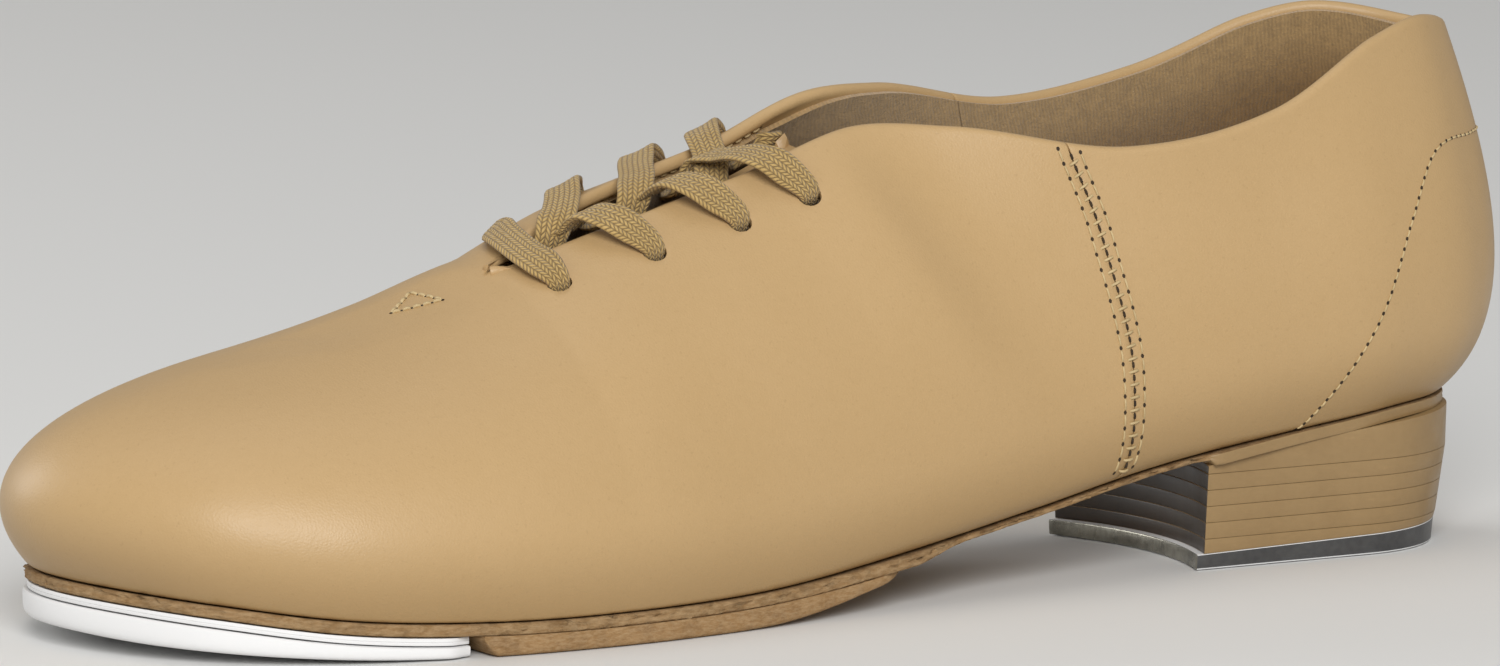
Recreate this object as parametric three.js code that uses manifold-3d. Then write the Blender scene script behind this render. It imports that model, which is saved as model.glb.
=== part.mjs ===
// Tap shoe, left foot: millimetres, +Z up, toe towards -X, inner (medial) side towards +Y.
import * as THREE from 'three';
import { mergeVertices } from 'three/addons/utils/BufferGeometryUtils.js';
import Module from 'manifold-3d';

const wasm = await Module();
wasm.setup();

// ---- Driving dimensions ----
const LEATHER = 1.3;          // upper leather
const STIFFENER = 0.8;        // toe puff, counter, stays and tapes
const LINING = 1.0;           // brushed cotton lining
const GAP = 0.3;              // clearance kept between neighbouring pieces
const LASTING_MARGIN = 9;     // upper turned in under the insole
const MIDSOLE = 2.1;
const SOUND_BOARD = 1.3;
const INSOLE = 2;
const SOCK = 1.2;
const SOLE_PAD_FRONT = 65.3;    // distances along the shoe are from the toe datum
const SOLE_PAD_REAR = 166;
const TOE_TAP_REAR = 63.5;
const HEEL_BREAST = 229.5;
const HEEL_HOLLOW = 5;        // how far the breast curves in
const HEEL_RADIUS = [26, 28]; // at the ground and at the seat
const HEEL_REAR = [292.8, 296.5];
const HEEL_TOP = 24;          // height at which the seat size is reached
const LIFT_TOPS = [5.8, 8.9, 12, 15.1, 18.2];
const LIFT_GAP = 0.15;
const HEEL_TAP_LIP = 1.6;     // tap standing proud of the breast
const EYELET_RADIUS = 2.7;
const EYELET_INSET = 10.5;    // from the facing edge
const EYELET_STATIONS = [0.398, 0.463, 0.528, 0.588];
const LACE_WIDTH = 3.6;
const LACE_THICKNESS = 1.2;
const THROAT = 0.37;          // station where the facings part

// ---- Materials ----
function finish(color, roughness, metalness = 0) {
  return new THREE.MeshStandardMaterial({ color, roughness, metalness });
}

const tanLeather = finish(0xb8935c, 0.45);
const rawLeather = finish(0xa5804e, 0.9);
const soleLeather = finish(0xb28550, 0.75);
const flannel = finish(0x7d5f38, 1);
const board = finish(0x9a8460, 0.9);
const darkBoard = finish(0x45443f, 0.6);
const cotton = finish(0xa98a5a, 0.95);
const stiffCloth = finish(0xcfc3a8, 0.9);
const satinMetal = finish(0xa8a598, 0.3, 1);
const darkSteel = finish(0x5b5b5b, 0.4, 1);

// ---- Smooth tables: rows of [key, value, ...] joined by a cubic through each row ----
function smooth(rows) {
  const width = rows[0].length - 1;
  const last = rows.length - 1;
  const grade = (i, k) => (rows[i + 1][k] - rows[i][k]) / (rows[i + 1][0] - rows[i][0]);
  const step = (i) => rows[i + 1][0] - rows[i][0];
  const slopes = rows.map((row, i) => Array.from({ length: width }, (_, n) => {
    const k = n + 1;
    if (i === 0 || i === last) return 0;
    return (grade(i - 1, k) * step(i) + grade(i, k) * step(i - 1)) / (step(i - 1) + step(i));
  }));
  for (let n = 0; n < width; n += 1) {
    slopes[0][n] = 1.5 * grade(0, n + 1) - 0.5 * slopes[1][n];
    slopes[last][n] = 1.5 * grade(last - 1, n + 1) - 0.5 * slopes[last - 1][n];
  }
  return (key) => {
    let i = 0;
    while (i < last - 1 && key >= rows[i + 1][0]) i += 1;
    const h = step(i);
    const t = (key - rows[i][0]) / h;
    const a = (1 + 2 * t) * (1 - t) ** 2;
    const b = t * (1 - t) ** 2 * h;
    const c = t * t * (3 - 2 * t);
    const d = t * t * (t - 1) * h;
    return slopes[i].map((m, n) => (
      a * rows[i][n + 1] + b * m + c * rows[i + 1][n + 1] + d * slopes[i + 1][n]));
  };
}

// ---- The foot form ----
// station, feather: along, outer half width, inner half width, top: along, slope, cross slope,
// pull and lean of the wall at the feather, pull at the top
const STATIONS = [
  [0, 5, -5, 5, 44, 0, 0, 23, 43, 39],
  [0.05, 8, 9, 19, 47, 0, 1.5, 23, 41, 39],
  [0.11, 18, 26, 34, 54, 0, 4, 23, 37, 38],
  [0.19, 38, 39, 42, 64, 0, 8, 22, 32, 36],
  [0.28, 66, 46, 44, 76, 0, 12, 22, 26, 34],
  [0.37, 96, 47, 41, 89, 0, 16, 22, 22, 32],
  [0.46, 126, 43, 35.5, 112, 12, 14, 23, 22, 27],
  [0.54, 153, 38, 30, 133, 22, 10, 24, 24, 25],
  [0.62, 180, 33.5, 27, 153, 34, 8, 25, 26, 24],
  [0.68, 200, 31, 26, 170, 58, 4, 25, 26, 24],
  [0.75, 222, 29, 26.5, 202, 84, 0, 24, 26, 22],
  [0.83, 246, 28, 27, 236, 86, 0, 22, 28, 22],
  [0.91, 271, 25, 25, 267, 80, 0, 22, 40, 26],
  [0.955, 286.5, 18, 18, 285, 74, 0, 22, 49, 27],
  [0.985, 293.5, 8, 8, 295, 68, 0, 22, 54, 28],
  [1, 295, 0, 0, 297.5, 66, 0, 22, 55, 28],
];
const halfOpening = smooth([
  [0.37, 0], [0.46, 6], [0.54, 8], [0.62, 9.5], [0.68, 11], [0.75, 21.5],
  [0.83, 26.3], [0.91, 24], [0.955, 16.5], [0.985, 7], [1, 0], [1.015, -7],
]);
const centreLine = smooth([
  [0, 4], [44, 2], [70, -3], [89, -4], [112, -3], [133, -1.5], [160, 0], [230, 0], [310, 0],
]);
const topHeight = smooth([
  [44, 49.9], [76, 57.6], [89, 62.4], [105, 68.5], [121, 73.3], [139, 78.4], [163, 86],
  [182, 85.2], [215, 80.2], [245, 85.6], [270, 98], [282, 100.8], [298, 98],
]);
const innerSideRise = smooth([
  [89, 0], [104, 2.6], [125, 3.2], [150, 3], [170, 5], [215, 5], [245, 3.5], [262, 0.5],
  [275, 0], [310, 0],
]);
const featherHeight = smooth([
  [0, 13], [20, 10.4], [40, 7.5], [68, 5.8], [98, 5.6], [128, 6.3], [158, 9.4], [190, 14.5],
  [216, 19.6], [244, 24], [270, 27], [300, 28.5],
]);
const OUTER = -1;
const INNER = 1;

// station rows of one side, carried on past the toe and the heel onto the other side
function sideRows(side) {
  const [own, other] = side === OUTER ? [2, 3] : [3, 2];
  const row = (r, key, reach, cross) => [key, r[1], side * reach, r[4], r[5], cross, ...r.slice(7)];
  const inside = STATIONS.map((r) => row(r, r[0], r[own], -side * r[6]));
  const toe = STATIONS[1];
  const heel = STATIONS[STATIONS.length - 2];
  return [
    row(toe, -toe[0], -toe[other], side * toe[6]),
    ...inside,
    row(heel, 2 - heel[0], -heel[other], 0),
  ];
}

const sideTable = { [OUTER]: smooth(sideRows(OUTER)), [INNER]: smooth(sideRows(INNER)) };

function outward(side, u) {
  const step = 1e-3;
  const [xa, ya] = sideTable[side](u - step);
  const [xb, yb] = sideTable[side](u + step);
  return new THREE.Vector3(-side * (yb - ya), side * (xb - xa), 0).normalize();
}

function featherPoint(side, u) {
  const [x, y] = sideTable[side](u);
  return new THREE.Vector3(x, y, featherHeight(x)[0]);
}

function topPoint(side, u) {
  const x = sideTable[side](u)[2];
  const open = u > THROAT;
  const half = open ? halfOpening(u)[0] : 0;
  const rise = open && side === INNER ? innerSideRise(x)[0] : 0;
  return new THREE.Vector3(x, centreLine(x)[0] + side * half, topHeight(x)[0] + rise);
}

// point of the outside of the upper: u runs from toe to heel, v from feather to top
function formPoint(side, u, v) {
  const [topX, slope, cross, footPull, lean, topPull] = sideTable[side](u).slice(2);
  const foot = featherPoint(side, u);
  const top = topPoint(side, u);
  const out = outward(side, u);
  const leanAngle = THREE.MathUtils.degToRad(lean);
  const p1 = foot.clone().addScaledVector(out, footPull * Math.sin(leanAngle));
  p1.z += footPull * Math.cos(leanAngle);
  const across = foot.clone().sub(top).setZ(0).normalize();
  const level = across.lerp(out, THREE.MathUtils.smoothstep(u, 0.5, 0.7)).normalize();
  const ridge = topHeight(topX + 0.5)[0] - topHeight(topX - 0.5)[0];
  const share = u <= THROAT ? Math.abs(level.y) : 1;
  const fall = THREE.MathUtils.degToRad(slope + cross) * share;
  const p2 = top.clone().addScaledVector(level, topPull * Math.cos(fall));
  p2.z += topPull * (ridge * level.x * Math.cos(fall) - Math.sin(fall));
  const w = 1 - v;
  return foot.multiplyScalar(w ** 3)
    .addScaledVector(p1, 3 * v * w * w)
    .addScaledVector(p2, 3 * v * v * w)
    .addScaledVector(top, v ** 3);
}

// negative v is the lasting margin, v millimetres in under the foot
function upperPoint(side, u, v) {
  if (v >= 0) {
    const p = formPoint(side, u, v);
    p.z += GAP * (1 - v);
    return p;
  }
  const p = featherPoint(side, u).addScaledVector(outward(side, u), v);
  return p.setZ(featherHeight(p.x)[0] + GAP);
}

function upperNormal(side, u, v) {
  const e = 2e-3;
  const along = upperPoint(side, u + e, v).sub(upperPoint(side, u - e, v));
  const low = Math.max(v - e, 0);
  const high = Math.min(v + e, 1);
  const up = upperPoint(side, u, high).sub(upperPoint(side, u, low));
  return along.cross(up).multiplyScalar(-side).normalize();
}

// side seam between vamp and quarter
const seamCurve = smooth([
  [0, 0.705], [0.2, 0.7175], [0.4, 0.734], [0.6, 0.747], [0.8, 0.7545], [1, 0.75],
]);
const seamStation = (v) => seamCurve(Math.max(v, 0))[0];
const SEAM_ROOM = 0.0025;     // half the gap at the seam, in stations

// ---- Mesh building ----
function spread(from, to, steps) {
  return Array.from({ length: steps + 1 }, (_, i) => from + (to - from) * i / steps);
}

function geometryOf(points, faces) {
  const geometry = new THREE.BufferGeometry();
  const places = points.flatMap((p) => p.toArray());
  geometry.setAttribute('position', new THREE.Float32BufferAttribute(places, 3));
  geometry.setIndex(faces.flat());
  return geometry;
}

// merges points that meet and drops faces that fold away
function weld(points, faces) {
  const keys = new Map();
  const kept = [];
  const remap = points.map((p) => {
    const key = p.toArray().map((value) => Math.round(value * 1e3)).join();
    if (!keys.has(key)) {
      keys.set(key, kept.length);
      kept.push(p);
    }
    return keys.get(key);
  });
  const turned = faces.map((face) => face.map((i) => remap[i]));
  return { points: kept, faces: turned.filter(([a, b, c]) => a !== b && b !== c && c !== a) };
}

// quads over columns by rows
function grid(columns, rows, point, flip = false) {
  const points = columns.flatMap((c) => rows.map((r) => point(c, r)));
  const faces = [];
  const n = rows.length;
  for (let i = 0; i < columns.length - 1; i += 1) {
    for (let j = 0; j < n - 1; j += 1) {
      const a = i * n + j;
      const quad = [a, a + n, a + n + 1, a + 1];
      if (flip) quad.reverse();
      faces.push([quad[0], quad[1], quad[2]], [quad[0], quad[2], quad[3]]);
    }
  }
  return weld(points, faces);
}

// wall of even thickness that starts at a depth under an open surface
function wall({ points, faces }, depth, thickness) {
  const sums = points.map(() => new THREE.Vector3());
  const corner = new THREE.Triangle();
  const faceNormals = faces.map(([a, b, c]) => {
    corner.set(points[a], points[b], points[c]);
    const normal = corner.getNormal(new THREE.Vector3());
    [[a, b, c], [b, c, a], [c, a, b]].forEach(([p, q, r]) => {
      const angle = points[q].clone().sub(points[p]).angleTo(points[r].clone().sub(points[p]));
      sums[p].addScaledVector(normal, angle);
    });
    return normal;
  });
  const normals = sums.map((sum) => sum.normalize());
  const reach = points.map(() => 1);
  faces.forEach((face, i) => face.forEach((p) => {
    reach[p] = Math.max(reach[p], 1 / Math.max(faceNormals[i].dot(normals[p]), 0.75));
  }));
  const shifted = (d) => points.map((p, i) => p.clone().addScaledVector(normals[i], -d * reach[i]));
  const n = points.length;
  const all = [...shifted(depth), ...shifted(depth + thickness)];
  const closed = faces.flatMap(([a, b, c]) => [[a, b, c], [c + n, b + n, a + n]]);
  const edges = new Set(faces.flatMap(([a, b, c]) => [`${a},${b}`, `${b},${c}`, `${c},${a}`]));
  edges.forEach((edge) => {
    const [a, b] = edge.split(',').map(Number);
    if (!edges.has(`${b},${a}`)) closed.push([b, a, a + n], [b, a + n, b + n]);
  });
  return geometryOf(all, closed);
}

function volumeOf({ points, faces }) {
  return faces.reduce((sum, [a, b, c]) => {
    const normal = points[b].clone().cross(points[c]);
    return sum + points[a].dot(normal) / 6;
  }, 0);
}

// body between matching rings of points, closed at both ends
function loft(rings, flat = (p) => new THREE.Vector2(p.x, p.y)) {
  const n = rings[0].length;
  const last = (rings.length - 1) * n;
  const faces = [];
  for (let i = 0; i < last; i += n) {
    for (let j = 0; j < n; j += 1) {
      const a = i + j;
      const b = i + (j + 1) % n;
      faces.push([a, b, b + n], [a, b + n, a + n]);
    }
  }
  const outline = rings[Math.floor(rings.length / 2)].map(flat);
  const forwards = THREE.ShapeUtils.area(outline) > 0;
  THREE.ShapeUtils.triangulateShape([...outline], []).forEach((corners) => {
    const sameWay = THREE.ShapeUtils.area(corners.map((k) => outline[k])) > 0 === forwards;
    const [a, b, c] = sameWay ? corners : [...corners].reverse();
    faces.push([c, b, a], [a + last, b + last, c + last]);
  });
  const body = weld(rings.flat(), faces);
  if (volumeOf(body) < 0) body.faces.forEach((face) => face.reverse());
  return geometryOf(body.points, body.faces);
}

function toSolid(geometry) {
  const bare = geometry.clone();
  bare.deleteAttribute('normal');
  bare.deleteAttribute('uv');
  const merged = mergeVertices(bare, 1e-4);
  return new wasm.Manifold(new wasm.Mesh({
    numProp: 3,
    vertProperties: merged.attributes.position.array,
    triVerts: new Uint32Array(merged.index.array),
  }));
}

function cutAway(geometry, cutters) {
  let solid = toSolid(geometry);
  cutters.forEach((cutter) => {
    solid = solid.subtract(toSolid(cutter));
  });
  const mesh = solid.getMesh();
  const result = new THREE.BufferGeometry();
  result.setAttribute('position', new THREE.Float32BufferAttribute(mesh.vertProperties, 3));
  result.setIndex(Array.from(mesh.triVerts));
  return result;
}

const shoe = new THREE.Group();

function add(name, geometry, material) {
  const mesh = new THREE.Mesh(geometry, material);
  mesh.name = name;
  shoe.add(mesh);
  return mesh;
}

// ---- Upper ----
// vamp columns count outwards from the toe, 0 at the toe and 1 at a side seam; the outer side is
// negative. Quarter columns do the same from the back of the heel.
function vampPoint(column, v) {
  const side = column < 0 ? OUTER : INNER;
  return upperPoint(side, Math.abs(column) * (seamStation(v) - SEAM_ROOM), v);
}

function quarterPoint(column, v) {
  const side = column < 0 ? OUTER : INNER;
  return upperPoint(side, 1 - Math.abs(column) * (1 - seamStation(v) - SEAM_ROOM), v);
}

const throatColumn = THROAT / (seamStation(1) - SEAM_ROOM);
const TOE_COLUMNS = spread(0, throatColumn, 9);
const FACING_COLUMNS = spread(throatColumn, 0.96, 8);
const VAMP_COLUMNS = [...TOE_COLUMNS, ...FACING_COLUMNS.slice(1), 1];
const QUARTER_COLUMNS = [0, 0.04, 0.1, 0.17, 0.25, 0.35, 0.48, 0.62, 0.76, 0.9, 1];
const UPPER_ROWS = [-LASTING_MARGIN, -4, 0, 0.1, 0.23, 0.38, 0.54, 0.7, 0.85, 1];
const STIFFENER_ROWS = [0.1, 0.23, 0.38, 0.54, 0.7];

const bothSides = (half) => [...half.slice(1).reverse().map((f) => -f), ...half];
const vampSheet = (columns, rows) => grid(columns, rows, vampPoint, true);
const quarterSheet = (columns, rows) => grid(columns, rows, quarterPoint);

function joined(...sheets) {
  const points = [];
  const faces = [];
  sheets.forEach((sheet) => {
    const start = points.length;
    points.push(...sheet.points);
    faces.push(...sheet.faces.map((face) => face.map((i) => i + start)));
  });
  return weld(points, faces);
}

function facingPoint(side, u, inset, height) {
  const edge = upperPoint(side, u, 1);
  let low = 0;
  let high = 1;
  for (let i = 0; i < 24; i += 1) {
    const middle = (low + high) / 2;
    if (upperPoint(side, u, middle).distanceTo(edge) > inset) low = middle;
    else high = middle;
  }
  return upperPoint(side, u, high).addScaledVector(upperNormal(side, u, high), height);
}

function facingNormal(side, u, inset) {
  return facingPoint(side, u, inset, 1).sub(facingPoint(side, u, inset, 0)).normalize();
}

function drill(point, direction, radius, length) {
  const cylinder = new THREE.CylinderGeometry(radius, radius, length, 12);
  const turn = new THREE.Quaternion().setFromUnitVectors(new THREE.Vector3(0, 1, 0), direction);
  return cylinder.applyQuaternion(turn).translate(point.x, point.y, point.z);
}

function eyeletCutter(side, u) {
  const middle = facingPoint(side, u, EYELET_INSET, -2);
  return drill(middle, facingNormal(side, u, EYELET_INSET), EYELET_RADIUS, 9);
}

const eyeletCutters = [OUTER, INNER].flatMap((side) => (
  EYELET_STATIONS.map((u) => eyeletCutter(side, u))));

function makeUpper() {
  const vamp = wall(vampSheet(bothSides(VAMP_COLUMNS), UPPER_ROWS), 0, LEATHER);
  add('vamp', cutAway(vamp, eyeletCutters), tanLeather);
  const quarter = wall(quarterSheet(bothSides(QUARTER_COLUMNS), UPPER_ROWS), 0, LEATHER);
  add('quarter', quarter, tanLeather);
}

function makeLining() {
  const depth = LEATHER + STIFFENER + 2 * GAP;
  const front = wall(vampSheet(bothSides(VAMP_COLUMNS), UPPER_ROWS), depth, LINING);
  add('vamp_lining', cutAway(front, eyeletCutters), flannel);
  const rear = wall(quarterSheet(bothSides(QUARTER_COLUMNS), UPPER_ROWS), depth, LINING);
  add('quarter_lining', rear, flannel);
}

const betweenLayers = (sheet) => wall(sheet, LEATHER + GAP, STIFFENER);

function makeStiffeners() {
  const puff = vampSheet(bothSides(TOE_COLUMNS.slice(0, 7)), STIFFENER_ROWS);
  add('toe_puff', betweenLayers(puff), stiffCloth);
  const counter = quarterSheet(bothSides(QUARTER_COLUMNS.slice(0, 8)), STIFFENER_ROWS);
  add('heel_counter', betweenLayers(counter), board);
  const tape = quarterSheet(bothSides(QUARTER_COLUMNS.slice(0, -1)), [0.85, 1]);
  add('topline_tape', betweenLayers(tape), stiffCloth);
  const stayColumns = [TOE_COLUMNS[8], ...FACING_COLUMNS.slice(0, 7)];
  const outerStay = vampSheet(stayColumns.map((f) => -f).reverse(), [0.7, 0.85, 1]);
  const innerStay = vampSheet(stayColumns, [0.7, 0.85, 1]);
  add('facing_stay', cutAway(betweenLayers(joined(outerStay, innerStay)), eyeletCutters), stiffCloth);
  [OUTER, INNER].forEach((side) => {
    const rows = [...STIFFENER_ROWS, 0.85];
    const front = grid([side * 0.96, side], rows, vampPoint, side === INNER);
    const rear = grid([side, side * 0.9], rows, quarterPoint, side === INNER);
    const bridge = grid([vampPoint, quarterPoint], rows, (point, v) => point(side, v), side === INNER);
    const name = side === OUTER ? 'outer_seam_tape' : 'inner_seam_tape';
    add(name, betweenLayers(joined(front, bridge, rear)), stiffCloth);
  });
}

// ---- Bottom ----
// plate that follows the feather outline, set in by a distance, between two height laws
function plate(stations, inset, bottom, top, squeeze = () => 1) {
  const rings = stations.map((u) => {
    const [a, b] = [OUTER, INNER].map((side) => (
      featherPoint(side, u).addScaledVector(outward(side, u), -inset)));
    const middle = (a.y + b.y) / 2;
    const reach = squeeze((a.x + b.x) / 2);
    return [a, a, b, b].map((p, i) => {
      const z = i === 1 || i === 2 ? top(p.x) : bottom(p.x);
      return new THREE.Vector3(p.x, middle + (p.y - middle) * reach, z);
    });
  });
  return loft(rings, (p) => new THREE.Vector2(p.y, p.z));
}

// stations of the feather outline between two distances along the shoe
function stationsBetween(from, to, steps) {
  return spread(from, to, steps).map((x) => {
    let low = 0;
    let high = 1;
    for (let i = 0; i < 30; i += 1) {
      const middle = (low + high) / 2;
      if (featherPoint(INNER, middle).x < x) low = middle;
      else high = middle;
    }
    return high;
  });
}

const above = (height) => (x) => featherHeight(x)[0] + height;
const TOE_STATIONS = [0, 0.02, 0.045, 0.075, 0.11, 0.15, 0.19];
const HEEL_STATIONS = [0.88, 0.91, 0.935, 0.955, 0.97, 0.982, 0.992, 1];
const FULL_STATIONS = [...TOE_STATIONS, ...spread(0.235, 0.85, 16), ...HEEL_STATIONS];
const insoleBottom = LEATHER + STIFFENER + LINING + 4 * GAP;
const soundBoardTop = -MIDSOLE - GAP;
const tapTop = soundBoardTop - SOUND_BOARD - GAP;
const clearOfGround = (table) => (x) => Math.max(table(x)[0], 0);
const toeTapGround = clearOfGround(smooth([
  [0, 4.6], [10, 3], [20, 2.1], [38, 0.8], [56, 0.1], [80, 0],
]));
const padGround = clearOfGround(smooth([
  [60, 0], [118, 0], [128, 0.4], [140, 2.1], [152, 4.8], [166, 8],
]));

const SCREW_HEAD = 3;         // radii
const SCREW_SHANK = 1.4;
const SCREW_RIM = 0.3;
const TOE_SCREWS = [[18, 4], [50, -27], [50, 25]];
const HEEL_SCREWS = [[247, -11], [247, 11], [279, 0]];
const NAILS = [[240, -16], [240, 16], [266, -9], [266, 9]];
const NAIL_RADIUS = 1.1;
const HEEL_SCREW_TIP = 14;

function upright(radius, from, to, x, y, sides = 10) {
  const cylinder = new THREE.CylinderGeometry(radius, radius, to - from, sides);
  cylinder.rotateX(Math.PI / 2);
  return cylinder.translate(x, y, (from + to) / 2);
}

// countersunk shape pointing up: rim, cone, shank
function countersunk(head, rim, shank, from, to, x, y) {
  const cone = rim + head - shank;
  const length = to - from;
  const profile = [[0, 0], [head, 0], [head, rim], [shank, cone], [shank, length], [0, length]];
  const points = profile.map(([r, z]) => new THREE.Vector2(r, z));
  return new THREE.LatheGeometry(points, 12).rotateX(Math.PI / 2).translate(x, y, from);
}

// screw from below: its head sits just inside the tap's ground face
function screw(name, x, y, ground, tip) {
  const body = countersunk(SCREW_HEAD, SCREW_RIM, SCREW_SHANK, ground, tip, x, y);
  const slot = new THREE.BoxGeometry(4.4, 0.7, 1.2).translate(x, y, ground);
  add(name, cutAway(body, [slot]), darkSteel);
}

// holes start a little under the tap, so that they open through its ground face
function screwHoles(places, ground, tip) {
  const lead = 1;
  const head = SCREW_HEAD + GAP;
  const rim = lead + SCREW_RIM + GAP;
  const shank = SCREW_SHANK + GAP;
  return places.map(([x, y]) => countersunk(head, rim, shank, ground(x) - lead, tip(x), x, y));
}

const nailTop = (x) => featherHeight(x)[0] + insoleBottom + INSOLE - 0.4;
const nailHoleFoot = LIFT_TOPS[1] - LIFT_GAP / 2;
const nailHoles = NAILS.map(([x, y]) => (
  upright(NAIL_RADIUS + 0.25, nailHoleFoot, nailTop(x) + 3, x, y)));
const screwTip = (x) => featherHeight(x)[0] - 0.5;
const SCREW_SINK = 0.3;       // head below the ground face
const toeScrewGround = (x) => toeTapGround(x) + SCREW_SINK;
const toeScrewHoles = screwHoles(TOE_SCREWS, toeScrewGround, (x) => screwTip(x) + GAP);
const heelTapTop = (x) => 3 + 1.5 * (x - HEEL_BREAST) / (HEEL_REAR[0] - HEEL_BREAST);
const heelScrewHoles = screwHoles(HEEL_SCREWS, () => SCREW_SINK, () => HEEL_SCREW_TIP + GAP);

function makeSole() {
  const insole = plate(FULL_STATIONS, 3.6, above(insoleBottom), above(insoleBottom + INSOLE));
  add('insole_board', cutAway(insole, nailHoles), board);
  const sockBottom = insoleBottom + INSOLE + GAP;
  const sock = plate(FULL_STATIONS, 3.4, above(sockBottom), above(sockBottom + SOCK));
  add('sock_lining', sock, flannel);
  const fillerTop = above(insoleBottom - GAP);
  const filler = plate(spread(0.1, 0.56, 12), LASTING_MARGIN + 2, above(GAP), fillerTop);
  add('bottom_filler', filler, cotton);
  const midsole = plate(FULL_STATIONS, -0.6, above(-MIDSOLE), above(0));
  add('midsole', cutAway(midsole, [...nailHoles, ...toeScrewHoles]), rawLeather);
  const padStations = stationsBetween(SOLE_PAD_FRONT, SOLE_PAD_REAR, 16);
  const roundFrom = 151;
  const roundReach = SOLE_PAD_REAR + 0.5 - roundFrom;
  const rounded = (x) => Math.sqrt(Math.max(1 - (Math.max(x - roundFrom, 0) / roundReach) ** 2, 0));
  const padBottom = (x) => padGround(x) + Math.max(SOLE_PAD_FRONT + 3 - x, 0) * 0.5;
  const pad = plate(padStations, -0.7, padBottom, above(-MIDSOLE - 0.2), rounded);
  add('sole_pad', pad, soleLeather);
}

// steel spring along the waist, between the lasting margins
function makeShank() {
  const half = 6;
  const section = [[-half, 0], [-half, 1], [half, 1], [half, 0]];
  const rings = spread(162, 244, 10).map((x) => {
    const low = featherHeight(x)[0] + 0.9;
    return section.map(([y, z]) => new THREE.Vector3(x, y, low + z));
  });
  add('shank', loft(rings, (p) => new THREE.Vector2(p.y, p.z)), darkSteel);
}

function makeToeTap() {
  const stations = [...TOE_STATIONS, ...stationsBetween(48, TOE_TAP_REAR, 5)];
  const corner = (x) => (x > TOE_TAP_REAR - 3 ? 0.97 : 1);
  const boardBottom = above(soundBoardTop - SOUND_BOARD);
  const boardPlate = plate(stations, -0.3, boardBottom, above(soundBoardTop), corner);
  add('toe_sound_board', cutAway(boardPlate, toeScrewHoles), darkBoard);
  const tap = plate(stations, -1.1, toeTapGround, above(tapTop), corner);
  add('toe_tap', cutAway(tap, toeScrewHoles), satinMetal);
  TOE_SCREWS.forEach(([x, y], i) => (
    screw(`toe_screw_${i + 1}`, x, y, toeScrewGround(x), screwTip(x))));
}

// heel outline at a height: hollow breast, straight sides, round back
function heelOutline(z, lip = 0) {
  const share = Math.min(z / HEEL_TOP, 1.1);
  const radius = THREE.MathUtils.lerp(HEEL_RADIUS[0], HEEL_RADIUS[1], share);
  const rear = THREE.MathUtils.lerp(HEEL_REAR[0], HEEL_REAR[1], share);
  const breast = HEEL_BREAST - lip;
  const hollow = spread(-1, 1, 10).map((t) => [breast + HEEL_HOLLOW * (1 - t * t), -radius * t]);
  const back = spread(-90, 90, 20).slice(0, -1).map((degrees) => {
    const angle = THREE.MathUtils.degToRad(degrees);
    return [rear - radius + radius * Math.cos(angle), radius * Math.sin(angle)];
  });
  return [...hollow, ...back];
}

function heelSlice(bottom, top, lip = 0) {
  const ring = (height) => heelOutline(height(HEEL_BREAST), lip).map(([x, y]) => (
    new THREE.Vector3(x, y, height(x))));
  return loft([ring(bottom), ring(top)]);
}

function makeHeel() {
  const level = (z) => () => z;
  const tap = heelSlice(level(0), (x) => heelTapTop(x) - LIFT_GAP, HEEL_TAP_LIP);
  add('heel_tap', cutAway(tap, heelScrewHoles), satinMetal);
  const bores = [...heelScrewHoles, ...nailHoles];
  let bottom = heelTapTop;
  LIFT_TOPS.forEach((z, i) => {
    const lift = heelSlice(bottom, level(z - LIFT_GAP));
    add(`heel_lift_${i + 1}`, cutAway(lift, bores), soleLeather);
    bottom = level(z);
  });
  const seat = heelSlice(bottom, above(-MIDSOLE - GAP));
  add('heel_seat', cutAway(seat, nailHoles), soleLeather);
  HEEL_SCREWS.forEach(([x, y], i) => (
    screw(`heel_screw_${i + 1}`, x, y, SCREW_SINK, HEEL_SCREW_TIP)));
  NAILS.forEach(([x, y], i) => {
    const nail = upright(NAIL_RADIUS, LIFT_TOPS[1] + 1, nailTop(x), x, y);
    add(`heel_nail_${i + 1}`, nail, darkSteel);
  });
}

// ---- Tongue ----
const TONGUE_DEPTH = 7.6;     // its upper face under the outside of the facings
const TONGUE_THICKNESS = 1.8;
const TONGUE_SPAN = [0.38, 0.63];
const TONGUE_REACH = 13;      // from the facing edge outwards, under each facing

function tonguePoint(across, u) {
  const side = across < 0 ? OUTER : INNER;
  const share = Math.abs(across);
  const edge = 0.45;          // where the facing edge lies over the tongue
  if (share >= edge) {
    const inset = (share - edge) / (1 - edge) * TONGUE_REACH;
    return facingPoint(side, u, inset, 0);
  }
  const t = 0.5 + 0.5 * across / edge;
  const middle = upperPoint(OUTER, u, 1).lerp(upperPoint(INNER, u, 1), t);
  const crown = 0.12 * halfOpening(u)[0];
  middle.z += crown * (1 - (across / edge) ** 2);
  return middle;
}

function makeTongue() {
  const columns = spread(TONGUE_SPAN[0], TONGUE_SPAN[1], 8);
  const rows = [-1, -0.72, -0.45, -0.2, 0, 0.2, 0.45, 0.72, 1];
  const sheet = grid(columns, rows, (u, across) => tonguePoint(across, u));
  add('tongue', wall(sheet, TONGUE_DEPTH, TONGUE_THICKNESS), tanLeather);
}

// ---- Lace ----
const OVER = 1.4;             // lace above the outside of a facing
const UNDER = -5.7;           // lace under the lining

// a place on or off a facing, with the direction of the lace's width there
function laceAt(side, u, inset, height) {
  const along = upperPoint(side, u + 0.01, 1).sub(upperPoint(side, u - 0.01, 1)).normalize();
  return { point: facingPoint(side, u, inset, height), along };
}

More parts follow.
